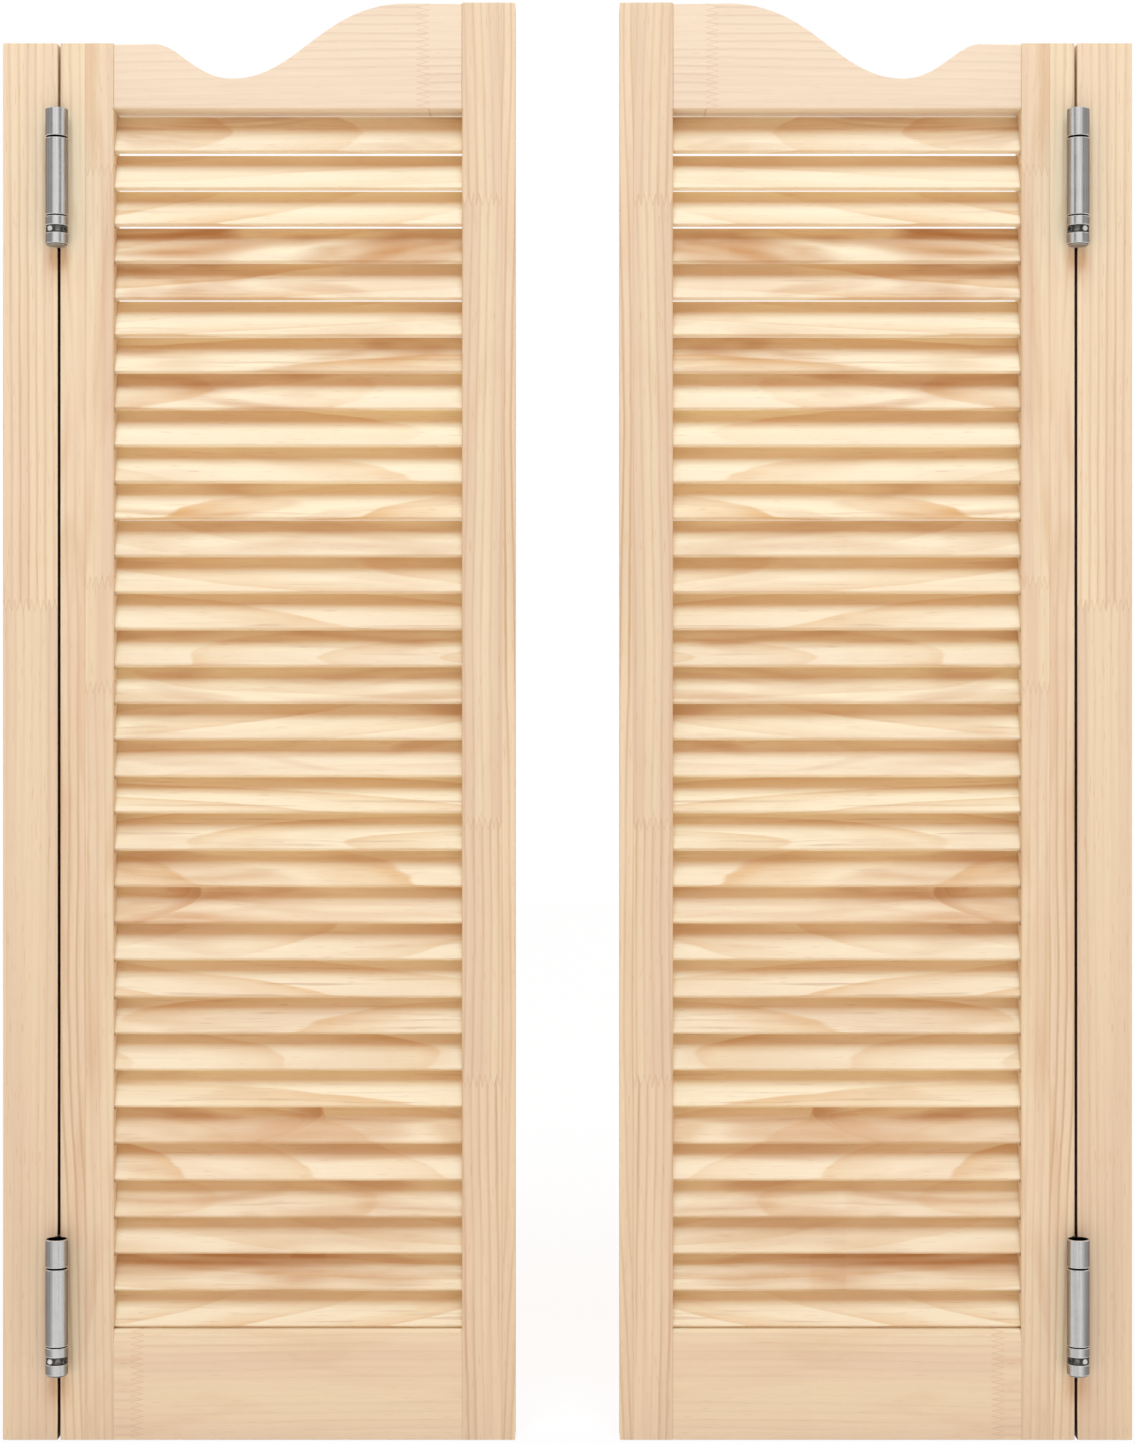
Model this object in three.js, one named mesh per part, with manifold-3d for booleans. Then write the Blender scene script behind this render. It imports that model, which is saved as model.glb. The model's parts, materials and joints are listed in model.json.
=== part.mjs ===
// A pair of louvred cafe doors with jamb strips and double-action spring hinges, shut and side by side.
// Millimetres: +X runs along the pair, +Y from the front face to the back, +Z up.
// The origin lies midway between the two doors, level with their lower edges.
import * as THREE from 'three';
import { mergeVertices } from 'three/addons/utils/BufferGeometryUtils.js';
import Module from 'manifold-3d';

const wasm = await Module();
wasm.setup();

// Door leaves and jamb strips
const DOOR_HEIGHT = 1066.8;
const SHOULDER_DROP = 30.2;
const THICKNESS = 28;
const PAIR_GAP = 77.8;
const STRIP_WIDTH = 40.6;
const SWING_GAP = 2.1;
const STILE_WIDTH = 39.4;
const PANEL_WIDTH = 258.6;
const EASED_EDGE = 1.2;

// Rails and their tenons
const TOP_RAIL_DEPTH = 48.5;
const BOTTOM_RAIL_DEPTH = 81.4;
const TENON_LENGTH = 20;
const TENON_THICKNESS = 10;
const TENON_SHOULDER = 10;
const JOINT_GAP = 0.3;

// Scallop along the top rail, from the low shoulder down to the valley and up to the crest
const SHOULDER_FLAT = 30.9;
const VALLEY_RUN = 56.9;
const VALLEY_DEPTH = 25.6;
const CREST_FLAT = 40.7;
const SHOULDER_EASE = 0.29;
const VALLEY_LOW_EASE = 0.46;
const VALLEY_HIGH_EASE = 0.38;
const CREST_EASE = 0.49;
const SCALLOP_STEPS = 9;

// Louvre slats
const SLAT_COUNT = 33;
const SLAT_WIDTH = 31.1;
const SLAT_THICKNESS = 4.3;
const SLAT_EDGE_RADIUS = 1;
const SLAT_TILT = THREE.MathUtils.degToRad(61);
const SLAT_SEAT = 6;
const SLAT_TOP_CLEARANCE = 3.4;
const SLAT_BOTTOM_CLEARANCE = 0.5;
const SLAT_FIT = 0.3;
const SLAT_CORNER_STEPS = 1;

// Hinge leaves and the web between them
const HINGE_HEIGHT = 100;
const HINGE_INSET = 51;
const LEAF_THICKNESS = 1.5;
const LEAF_EDGE_INSET = 4;
const LEAF_SEAT_GAP = 0.3;
const WEB_CLEARANCE = 0.45;
const SCREW_ROWS = 3;
const SCREW_ROW_INSET = 12;
const SCREW_STAGGER = 4.5;
const SCREW_HOLE_DIAMETER = 4.6;
const COUNTERSINK_DIAMETER = 8.6;
const SCREW_HOLE_SIDES = 8;

// Hinge barrels
const BARREL_DIAMETER = 16.5;
const BARREL_WALL = 1.5;
const BARREL_FACE_CLEARANCE = 0.4;
const BARREL_SIDES = 16;
const UPPER_KNUCKLE = 20.6;
const UPPER_KNUCKLE_GAP = 1.3;
const LOWER_KNUCKLE_GAP = 0.8;
const RUNNING_FIT = 0.3;

// Adjusting collar and tension pin in the lower knuckle
const WINDOW_SILL = 8.1;
const WINDOW_HEIGHT = 5.3;
const WINDOW_LINTEL = 7;
const COLLAR_BAND_INSET = 0.3;
const COLLAR_JOURNAL = 5.5;
const COLLAR_HEAD_INSET = 0.8;
const COLLAR_HEAD_HEIGHT = 1.6;
const COLLAR_SIDES = 12;
const COLLAR_HOLES = 8;
const COLLAR_HOLE_DIAMETER = 3.6;
const COLLAR_HOLE_DEPTH = 2.6;
const COLLAR_HOLE_SIDES = 6;
const PIN_FIT = 0.3;
const PIN_PROUD = 1.8;
const PIN_ANGLE = THREE.MathUtils.degToRad(28);

// Pivot and torsion spring in the middle barrel
const PIVOT_SEAT = 8;
const PIVOT_RECESS = 9;
const PIVOT_SIDES = 12;
const SPRING_WIRE = 2.2;
const SPRING_WALL_CLEARANCE = 0.6;
const SPRING_CURLS = 5;
const CURL_STEPS = 8;
const WIRE_SIDES = 5;

// Modelling tolerances
const MERGE_TOLERANCE = 1e-4;
const OVERCUT = 1;

// Levels and edges worked out from the sizes above; X edges are those of the left door
const SHOULDER_Z = DOOR_HEIGHT - SHOULDER_DROP;
const RAIL_UNDERSIDE_Z = SHOULDER_Z - TOP_RAIL_DEPTH;
const VALLEY_Z = SHOULDER_Z - VALLEY_DEPTH;
const HALF_THICKNESS = THICKNESS / 2;
const MEETING_EDGE_X = -PAIR_GAP / 2;
const PANEL_END_X = MEETING_EDGE_X - STILE_WIDTH;
const PANEL_X = PANEL_END_X - PANEL_WIDTH;
const HINGE_STILE_X = PANEL_X - STILE_WIDTH;
const STRIP_EDGE_X = HINGE_STILE_X - SWING_GAP;
const STRIP_X = STRIP_EDGE_X - STRIP_WIDTH;
const HINGE_X = STRIP_EDGE_X + SWING_GAP / 2;
const HINGE_BASES = {
  top: SHOULDER_Z - HINGE_INSET - HINGE_HEIGHT,
  bottom: HINGE_INSET,
};
const BARREL_RADIUS = BARREL_DIAMETER / 2;
const BORE_RADIUS = BARREL_RADIUS - BARREL_WALL;
const JOURNAL_RADIUS = BORE_RADIUS - RUNNING_FIT;
const WALL_MIDDLE_RADIUS = BARREL_RADIUS - BARREL_WALL / 2;
const BARREL_Y = HALF_THICKNESS + BARREL_RADIUS + BARREL_FACE_CLEARANCE;
const WINDOW_TOP = WINDOW_SILL + WINDOW_HEIGHT;
const LOWER_KNUCKLE_TOP = WINDOW_TOP + WINDOW_LINTEL;
const UPPER_KNUCKLE_BASE = HINGE_HEIGHT - UPPER_KNUCKLE;
const MIDDLE_BASE = LOWER_KNUCKLE_TOP + LOWER_KNUCKLE_GAP;
const MIDDLE_TOP = UPPER_KNUCKLE_BASE - UPPER_KNUCKLE_GAP;
const COLLAR_TOP = MIDDLE_BASE + COLLAR_JOURNAL;
const COLLAR_BAND_RADIUS = BARREL_RADIUS - COLLAR_BAND_INSET;
const COLLAR_HOLE_Z = WINDOW_SILL + WINDOW_HEIGHT / 2;
const PIVOT_BASE = MIDDLE_TOP - PIVOT_SEAT;

const FRONT = -1;
const REAR = 1;
const QUARTER_TURN = Math.PI / 2;
const ALONG_X = new THREE.Matrix4().makeBasis(
  new THREE.Vector3(0, 1, 0),
  new THREE.Vector3(0, 0, 1),
  new THREE.Vector3(1, 0, 0),
);

// Turns a closed geometry into a solid that can be joined and cut.
function toSolid(geometry) {
  geometry.deleteAttribute('normal');
  geometry.deleteAttribute('uv');
  const merged = mergeVertices(geometry, MERGE_TOLERANCE);
  const vertProperties = Float32Array.from(merged.getAttribute('position').array);
  const triVerts = Uint32Array.from(merged.getIndex().array);
  return new wasm.Manifold(new wasm.Mesh({ numProp: 3, vertProperties, triVerts }));
}

// Turns a solid back into a geometry.
function toGeometry(solid) {
  const mesh = solid.getMesh();
  const geometry = new THREE.BufferGeometry();
  geometry.setAttribute('position', new THREE.BufferAttribute(mesh.vertProperties, mesh.numProp));
  geometry.setIndex(new THREE.BufferAttribute(mesh.triVerts, 1));
  geometry.computeVertexNormals();
  return geometry;
}

function joinAll(first, others) {
  return others.reduce((whole, piece) => whole.add(piece), first);
}

function cutAll(first, cutters) {
  return cutters.reduce((whole, cutter) => whole.subtract(cutter), first);
}

// A box between two opposite corners.
function box(low, high) {
  const [width, depth, height] = high.map((value, axis) => value - low[axis]);
  const middle = high.map((value, axis) => (value + low[axis]) / 2);
  const geometry = new THREE.BoxGeometry(width, depth, height);
  geometry.translate(...middle);
  return toSolid(geometry);
}

function extrude(shape, depth, curveSegments) {
  return new THREE.ExtrudeGeometry(shape, { depth, curveSegments, bevelEnabled: false });
}

// A form of revolution about +Z from [radius, height] pairs that start and end on the axis or close.
function revolve(profile, sides) {
  const points = profile.map(([radius, height]) => new THREE.Vector2(radius, height));
  const geometry = new THREE.LatheGeometry(points, sides);
  return geometry.rotateX(QUARTER_TURN);
}

// A hollow barrel on the front or rear axis, between two heights.
function barrel(face, base, top) {
  const geometry = revolve([
    [BORE_RADIUS, base],
    [BARREL_RADIUS, base],
    [BARREL_RADIUS, top],
    [BORE_RADIUS, top],
    [BORE_RADIUS, base],
  ], BARREL_SIDES);
  return toSolid(geometry.translate(0, face * BARREL_Y, 0));
}

// An upright with eased long edges, between two X edges, from the floor edge to a height.
function upright(startX, endX, height) {
  const shape = new THREE.Shape();
  shape.moveTo(startX + EASED_EDGE, -HALF_THICKNESS);
  shape.lineTo(endX - EASED_EDGE, -HALF_THICKNESS);
  shape.lineTo(endX, -HALF_THICKNESS + EASED_EDGE);
  shape.lineTo(endX, HALF_THICKNESS - EASED_EDGE);
  shape.lineTo(endX - EASED_EDGE, HALF_THICKNESS);
  shape.lineTo(startX + EASED_EDGE, HALF_THICKNESS);
  shape.lineTo(startX, HALF_THICKNESS - EASED_EDGE);
  shape.lineTo(startX, -HALF_THICKNESS + EASED_EDGE);
  return toSolid(extrude(shape, height));
}

// The shallow seats for the hinge leaves in an edge; a seat runs out through the face with the barrel.
function leafSeats(edgeX, inward, openFace) {
  const depth = LEAF_THICKNESS + LEAF_SEAT_GAP;
  const openY = openFace * (HALF_THICKNESS + OVERCUT);
  const closedY = -openFace * (HALF_THICKNESS - LEAF_EDGE_INSET + LEAF_SEAT_GAP);
  const floorX = edgeX + inward * depth;
  const outsideX = edgeX - inward * OVERCUT;
  return Object.values(HINGE_BASES).map((base) => box(
    [Math.min(floorX, outsideX), Math.min(openY, closedY), base - LEAF_SEAT_GAP],
    [Math.max(floorX, outsideX), Math.max(openY, closedY), base + HINGE_HEIGHT + LEAF_SEAT_GAP],
  ));
}

// A rail's tenon, or with a fit the mortise that takes it, between two heights.
function tenon(startX, endX, lowZ, highZ, fit) {
  const halfTenon = TENON_THICKNESS / 2 + fit;
  return box(
    [startX - fit, -halfTenon, lowZ + TENON_SHOULDER - fit],
    [endX + fit, halfTenon, highZ - TENON_SHOULDER + fit],
  );
}

// The tenons of both rails at one end of the panel.
function railTenons(startX, endX, topZ, fit) {
  return {
    top: tenon(startX, endX, RAIL_UNDERSIDE_Z, topZ, fit),
    bottom: tenon(startX, endX, 0, BOTTOM_RAIL_DEPTH, fit),
  };
}

function hingeEndTenons(fit) {
  return railTenons(PANEL_X - TENON_LENGTH, PANEL_X + JOINT_GAP + OVERCUT, SHOULDER_Z, fit);
}

function meetingEndTenons(fit) {
  return railTenons(PANEL_END_X - JOINT_GAP - OVERCUT, PANEL_END_X + TENON_LENGTH, DOOR_HEIGHT, fit);
}

// A slat's rounded section in depth and height, grown by a fit, tilted with its front edge low.
function slatOutline(fit) {
  const halfWidth = SLAT_WIDTH / 2 + fit;
  const halfDepth = SLAT_THICKNESS / 2 + fit;
  const radius = Math.min(SLAT_EDGE_RADIUS + fit, halfDepth);
  const corners = [[1, 1], [-1, 1], [-1, -1], [1, -1]];
  const outline = corners.flatMap(([along, across], quarter) => {
    const centre = new THREE.Vector2(along * (halfWidth - radius), across * (halfDepth - radius));
    return Array.from({ length: SLAT_CORNER_STEPS + 1 }, (_, step) => {
      const angle = (quarter + step / SLAT_CORNER_STEPS) * QUARTER_TURN;
      return new THREE.Vector2(Math.cos(angle), Math.sin(angle)).multiplyScalar(radius).add(centre);
    });
  });
  return outline.map((point) => point.rotateAround(new THREE.Vector2(), SLAT_TILT));
}

function slatCentres() {
  const heights = slatOutline(0).map((point) => point.y);
  const halfRise = Math.max(...heights);
  const lowest = BOTTOM_RAIL_DEPTH + SLAT_BOTTOM_CLEARANCE + halfRise;
  const highest = RAIL_UNDERSIDE_Z - SLAT_TOP_CLEARANCE - halfRise;
  const pitch = (highest - lowest) / (SLAT_COUNT - 1);
  return Array.from({ length: SLAT_COUNT }, (_, index) => lowest + index * pitch);
}

// A louvre of slats, or with a fit their mortises, between two X ends.
function slats(startX, endX, fit) {
  const shape = new THREE.Shape(slatOutline(fit));
  return slatCentres().map((height) => {
    const geometry = extrude(shape, endX - startX);
    geometry.applyMatrix4(ALONG_X);
    geometry.translate(startX, 0, height);
    return toSolid(geometry);
  });
}

function jambStrip(openFace) {
  const strip = upright(STRIP_X, STRIP_EDGE_X, SHOULDER_Z);
  return cutAll(strip, leafSeats(STRIP_EDGE_X, -1, openFace));
}

function hingeStile(openFace) {
  const stile = upright(HINGE_STILE_X, PANEL_X, SHOULDER_Z);
  const tenons = hingeEndTenons(JOINT_GAP);
  return cutAll(stile, [
    tenons.top,
    tenons.bottom,
    ...leafSeats(HINGE_STILE_X, 1, openFace),
    ...slats(PANEL_X - SLAT_SEAT - SLAT_FIT, PANEL_X + OVERCUT, SLAT_FIT),
  ]);
}

// The taller stile with the louvre that it carries: each slat is housed in it and reaches the hinge stile.
function meetingStile() {
  const stile = upright(PANEL_END_X, MEETING_EDGE_X, DOOR_HEIGHT);
  const tenons = meetingEndTenons(JOINT_GAP);
  const housed = joinAll(stile, slats(PANEL_X - SLAT_SEAT, PANEL_END_X + SLAT_SEAT, 0));
  return cutAll(housed, [tenons.top, tenons.bottom]);
}

// The scalloped outline in X and height: low shoulder, valley, long rise and crest.
function topRailOutline() {
  const shoulderX = PANEL_X + SHOULDER_FLAT;
  const valleyX = shoulderX + VALLEY_RUN;
  const crestX = PANEL_END_X - CREST_FLAT;
  const rise = crestX - valleyX;
  const shape = new THREE.Shape();
  shape.moveTo(PANEL_X + JOINT_GAP, RAIL_UNDERSIDE_Z);
  shape.lineTo(PANEL_END_X - JOINT_GAP, RAIL_UNDERSIDE_Z);
  shape.lineTo(PANEL_END_X - JOINT_GAP, DOOR_HEIGHT);
  shape.lineTo(crestX, DOOR_HEIGHT);
  shape.bezierCurveTo(
    crestX - CREST_EASE * rise, DOOR_HEIGHT,
    valleyX + VALLEY_HIGH_EASE * rise, VALLEY_Z,
    valleyX, VALLEY_Z,
  );
  shape.bezierCurveTo(
    valleyX - VALLEY_LOW_EASE * VALLEY_RUN, VALLEY_Z,
    shoulderX + SHOULDER_EASE * VALLEY_RUN, SHOULDER_Z,
    shoulderX, SHOULDER_Z,
  );
  shape.lineTo(PANEL_X + JOINT_GAP, SHOULDER_Z);
  return shape;
}

function topRail() {
  const geometry = extrude(topRailOutline(), THICKNESS, SCALLOP_STEPS);
  geometry.rotateX(QUARTER_TURN);
  geometry.translate(0, HALF_THICKNESS, 0);
  return joinAll(toSolid(geometry), [hingeEndTenons(0).top, meetingEndTenons(0).top]);
}

function bottomRail() {
  const rail = box(
    [PANEL_X + JOINT_GAP, -HALF_THICKNESS, 0],
    [PANEL_END_X - JOINT_GAP, HALF_THICKNESS, BOTTOM_RAIL_DEPTH],
  );
  return joinAll(rail, [hingeEndTenons(0).bottom, meetingEndTenons(0).bottom]);
}

// The knuckles of a leaf: the upper one, and the lower one parted by the collar's window.
function knuckleHeights() {
  return [
    [0, WINDOW_SILL],
    [WINDOW_TOP, LOWER_KNUCKLE_TOP],
    [UPPER_KNUCKLE_BASE, HINGE_HEIGHT],
  ];
}

// The plate's outline in depth and height: its front edge reaches into the knuckles' walls.
function leafOutline() {
  const plateMiddleX = SWING_GAP / 2 + LEAF_THICKNESS / 2;
  const reach = Math.sqrt(WALL_MIDDLE_RADIUS ** 2 - plateMiddleX ** 2);
  const knuckleY = -BARREL_Y + reach;
  const farY = HALF_THICKNESS - LEAF_EDGE_INSET;
  const toothed = knuckleHeights().toReversed().flatMap(([base, top]) => [
    new THREE.Vector2(-HALF_THICKNESS, top),
    new THREE.Vector2(knuckleY, top),
    new THREE.Vector2(knuckleY, base),
    new THREE.Vector2(-HALF_THICKNESS, base),
  ]);
  return [
    ...toothed,
    new THREE.Vector2(farY, 0),
    new THREE.Vector2(farY, HINGE_HEIGHT),
  ];
}

// The countersunk screw holes, staggered in two columns; each narrows away from the gap.
function screwHoles() {
  const plateMiddleY = -LEAF_EDGE_INSET / 2;
  const rowPitch = (HINGE_HEIGHT - 2 * SCREW_ROW_INSET) / (SCREW_ROWS - 1);
  const taper = (COUNTERSINK_DIAMETER - SCREW_HOLE_DIAMETER) / 2 / LEAF_THICKNESS;
  const wide = COUNTERSINK_DIAMETER / 2 + taper * LEAF_SEAT_GAP;
  const narrow = SCREW_HOLE_DIAMETER / 2 - taper * LEAF_SEAT_GAP;
  const length = LEAF_THICKNESS + 2 * LEAF_SEAT_GAP;
  return Array.from({ length: SCREW_ROWS }, (_, row) => {
    const geometry = new THREE.CylinderGeometry(narrow, wide, length, SCREW_HOLE_SIDES);
    const side = row % 2 ? 1 : -1;
    geometry.rotateZ(QUARTER_TURN);
    geometry.translate(
      -SWING_GAP / 2 - LEAF_THICKNESS / 2,
      plateMiddleY + side * SCREW_STAGGER,
      SCREW_ROW_INSET + row * rowPitch,
    );
    return toSolid(geometry);
  });
}

// A leaf on the low-X side of the gap with its knuckles at the front; turned half round it is the other one.
function leaf() {
  const plate = extrude(new THREE.Shape(leafOutline()), LEAF_THICKNESS);
  plate.applyMatrix4(ALONG_X);
  plate.translate(-SWING_GAP / 2 - LEAF_THICKNESS, 0, 0);
  const knuckles = knuckleHeights().map(([base, top]) => barrel(FRONT, base, top));
  const bore = revolve([
    [0, -OVERCUT],
    [BORE_RADIUS, -OVERCUT],
    [BORE_RADIUS, HINGE_HEIGHT + OVERCUT],
    [0, HINGE_HEIGHT + OVERCUT],
  ], BARREL_SIDES);
  bore.translate(0, FRONT * BARREL_Y, 0);
  return cutAll(joinAll(toSolid(plate), knuckles), [toSolid(bore), ...screwHoles()]);
}

// The plate in the gap that carries both middle barrels.
function web() {
  const halfWeb = SWING_GAP / 2 - WEB_CLEARANCE;
  const reachY = BARREL_Y - WALL_MIDDLE_RADIUS;
  const plate = box([-halfWeb, -reachY, MIDDLE_BASE], [halfWeb, reachY, MIDDLE_TOP]);
  const middles = [FRONT, REAR].map((face) => barrel(face, MIDDLE_BASE, MIDDLE_TOP));
  return joinAll(plate, middles);
}

// The pivot fixed in the top of a middle barrel, whose upper end turns in the leaf's upper knuckle.
function pivot() {
  const top = HINGE_HEIGHT - PIVOT_RECESS;
  return toSolid(revolve([
    [0, PIVOT_BASE],
    [JOURNAL_RADIUS, PIVOT_BASE],
    [JOURNAL_RADIUS, top],
    [0, top],
  ], PIVOT_SIDES));
}

// A radial hole in the collar's band, turned about its axis from the front.
function radialHole(turn) {
  const bottom = COLLAR_BAND_RADIUS - COLLAR_HOLE_DEPTH;
  const length = COLLAR_HOLE_DEPTH + OVERCUT;
  const radius = COLLAR_HOLE_DIAMETER / 2;
  const geometry = new THREE.CylinderGeometry(radius, radius, length, COLLAR_HOLE_SIDES);
  geometry.translate(0, -bottom - length / 2, 0);
  geometry.rotateZ(turn);
  geometry.translate(0, 0, COLLAR_HOLE_Z);
  return toSolid(geometry);
}

// The adjusting collar: domed head, holed band in the window, and a journal up into the middle barrel.
function collar(turn) {
  const headRadius = BARREL_RADIUS - COLLAR_HEAD_INSET;
  const bandBase = WINDOW_SILL + RUNNING_FIT;
  const bandTop = WINDOW_TOP - RUNNING_FIT;
  const body = revolve([
    [0, -RUNNING_FIT - COLLAR_HEAD_HEIGHT],
    [headRadius * Math.SQRT1_2, -RUNNING_FIT - COLLAR_HEAD_HEIGHT * Math.SQRT1_2],
    [headRadius, -RUNNING_FIT],
    [JOURNAL_RADIUS, -RUNNING_FIT],
    [JOURNAL_RADIUS, bandBase],
    [COLLAR_BAND_RADIUS, bandBase],
    [COLLAR_BAND_RADIUS, bandTop],
    [JOURNAL_RADIUS, bandTop],
    [JOURNAL_RADIUS, COLLAR_TOP],
    [0, COLLAR_TOP],
  ], COLLAR_SIDES);
  const pitch = 2 * Math.PI / COLLAR_HOLES;
  const holes = Array.from({ length: COLLAR_HOLES }, (_, index) => radialHole(turn + index * pitch));
  return cutAll(toSolid(body), holes);
}

// The tension pin: it stands in one of the collar's holes with its rounded end proud.
function pin(turn) {
  const radius = COLLAR_HOLE_DIAMETER / 2 - PIN_FIT;
  const inner = COLLAR_BAND_RADIUS - COLLAR_HOLE_DEPTH + PIN_FIT;
  const outer = COLLAR_BAND_RADIUS + PIN_PROUD;
  const body = revolve([
    [0, inner],
    [radius, inner],
    [radius, outer - radius],
    [radius * Math.SQRT1_2, outer - radius * (1 - Math.SQRT1_2)],
    [0, outer],
  ], COLLAR_HOLE_SIDES);
  body.rotateX(QUARTER_TURN);
  body.rotateZ(turn);
  body.translate(0, 0, COLLAR_HOLE_Z);
  return toSolid(body);
}

// The spring's route: a straight tang off the collar, the curls, and a straight tang up to the pivot.
function springRoute() {
  const radius = BORE_RADIUS - SPRING_WALL_CLEARANCE - SPRING_WIRE / 2;
  const base = COLLAR_TOP + RUNNING_FIT;
  const top = PIVOT_BASE - RUNNING_FIT;
  const curlBase = base + SPRING_WIRE;
  const curlTop = top - SPRING_WIRE;
  const steps = SPRING_CURLS * CURL_STEPS;
  const curls = Array.from({ length: steps + 1 }, (_, step) => ({
    angle: step / CURL_STEPS * 2 * Math.PI,
    height: THREE.MathUtils.lerp(curlBase, curlTop, step / steps),
  }));
  const route = [{ angle: 0, height: base }, ...curls, { angle: curls.at(-1).angle, height: top }];
  return route.map(({ angle, height }) => (
    new THREE.Vector3(radius * Math.cos(angle), radius * Math.sin(angle), height)
  ));
}

// A closed round wire along a route that winds about +Z.
function wire(route) {
  const positions = [];
  const index = [];
  route.forEach((point, step) => {
    const before = route[Math.max(step - 1, 0)];
    const after = route[Math.min(step + 1, route.length - 1)];
    const tangent = after.clone().sub(before).normalize();
    const outward = new THREE.Vector3(point.x, point.y, 0).normalize();
    const sideways = tangent.clone().cross(outward).normalize();
    for (let side = 0; side < WIRE_SIDES; side += 1) {
      const angle = side / WIRE_SIDES * 2 * Math.PI;
      const corner = point.clone()
        .addScaledVector(outward, Math.cos(angle) * SPRING_WIRE / 2)
        .addScaledVector(sideways, Math.sin(angle) * SPRING_WIRE / 2);
      positions.push(...corner.toArray());
    }
  });
  for (let step = 0; step < route.length - 1; step += 1) {
    for (let side = 0; side < WIRE_SIDES; side += 1) {
      const next = (side + 1) % WIRE_SIDES;
      const here = step * WIRE_SIDES;
      const there = here + WIRE_SIDES;
      index.push(here + side, here + next, there + side);
      index.push(here + next, there + next, there + side);
    }
  }
  const last = (route.length - 1) * WIRE_SIDES;
  for (let side = 1; side < WIRE_SIDES - 1; side += 1) {
    index.push(0, side + 1, side);
    index.push(last, last + side, last + side + 1);
  }
  const geometry = new THREE.BufferGeometry();
  geometry.setAttribute('position', new THREE.Float32BufferAttribute(positions, 3));
  geometry.setIndex(index);
  return toSolid(geometry);
}

// The least gap between curls, from route points at least half a curl apart.
function springGap(route) {
  const apart = CURL_STEPS / 2;
  const distances = route.flatMap((point, step) => (
    route.slice(step + apart).map((other) => point.distanceTo(other) - SPRING_WIRE)
  ));
  return Math.min(...distances);
}

const PINE = { color: 0xeed5ac, roughness: 0.62, metalness: 0 };
const SATIN_STEEL = { color: 0xb4b0aa, roughness: 0.34, metalness: 0.9 };
const DARK_STEEL = { color: 0x4b4844, roughness: 0.45, metalness: 0.8 };
const SPRING_STEEL = { color: 0x77766f, roughness: 0.4, metalness: 0.85 };

function mesh(name, solid, finish) {
  const piece = new THREE.Mesh(toGeometry(solid), new THREE.MeshStandardMaterial(finish));
  piece.name = name;
  return piece;
}

// The wood of one door, drawn as the left one; the faces name where its hinge leaves run out.
function woodwork(side, stripFace, stileFace) {
  const group = new THREE.Group();
  group.add(
    mesh(`${side}_jamb_strip`, jambStrip(stripFace), PINE),
    mesh(`${side}_hinge_stile`, hingeStile(stileFace), PINE),
    mesh(`${side}_meeting_stile`, meetingStile(), PINE),
    mesh(`${side}_top_rail`, topRail(), PINE),
    mesh(`${side}_bottom_rail`, bottomRail(), PINE),
  );
  return group;
}

// What turns in and on one barrel, about the barrel's own axis.
function barrelFittings(prefix, route, pinTurn) {
  const group = new THREE.Group();
  group.add(
    mesh(`${prefix}_pivot`, pivot(), SATIN_STEEL),
    mesh(`${prefix}_spring`, wire(route), SPRING_STEEL),
    mesh(`${prefix}_collar`, collar(pinTurn), DARK_STEEL),
    mesh(`${prefix}_tension_pin`, pin(pinTurn), SATIN_STEEL),
  );
  return group;
}

// One double-action hinge: the front barrel is on the low-X leaf and the rear barrel on the high-X leaf.
function hinge(prefix, frontLeaf, rearLeaf, route, pinTurn) {
  const group = new THREE.Group();
  const lowLeaf = mesh(`${prefix}_${frontLeaf}_leaf`, leaf(), SATIN_STEEL);
  const highLeaf = mesh(`${prefix}_${rearLeaf}_leaf`, leaf(), SATIN_STEEL);
  highLeaf.rotation.z = Math.PI;
  const front = barrelFittings(`${prefix}_front`, route, pinTurn);
  front.position.y = FRONT * BARREL_Y;
  const rear = barrelFittings(`${prefix}_rear`, route, pinTurn);
  rear.position.y = REAR * BARREL_Y;
  rear.rotation.z = Math.PI;
  group.add(lowLeaf, highLeaf, mesh(`${prefix}_web`, web(), SATIN_STEEL), front, rear);
  return group;
}

const route = springRoute();
console.log(`spring: least gap between curls ${springGap(route).toFixed(2)} mm`);

const doors = new THREE.Group();
const rightWood = woodwork('right', REAR, FRONT);
rightWood.scale.x = -1;
doors.add(woodwork('left', FRONT, REAR), rightWood);
for (const [place, base] of Object.entries(HINGE_BASES)) {
  const left = hinge(`left_${place}_hinge`, 'jamb', 'door', route, -PIN_ANGLE);
  left.position.set(HINGE_X, 0, base);
  const right = hinge(`right_${place}_hinge`, 'door', 'jamb', route, PIN_ANGLE);
  right.position.set(-HINGE_X, 0, base);
  doors.add(left, right);
}

export default doors;
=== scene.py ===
"""Looks for a pair of louvred cafe doors on double-action spring hinges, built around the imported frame.

Metres: +X runs along the pair, +Y from the front face to the back, +Z up.
"""

import json
import math
import random

import bmesh
import bpy
from mathutils import Matrix, Vector

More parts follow.
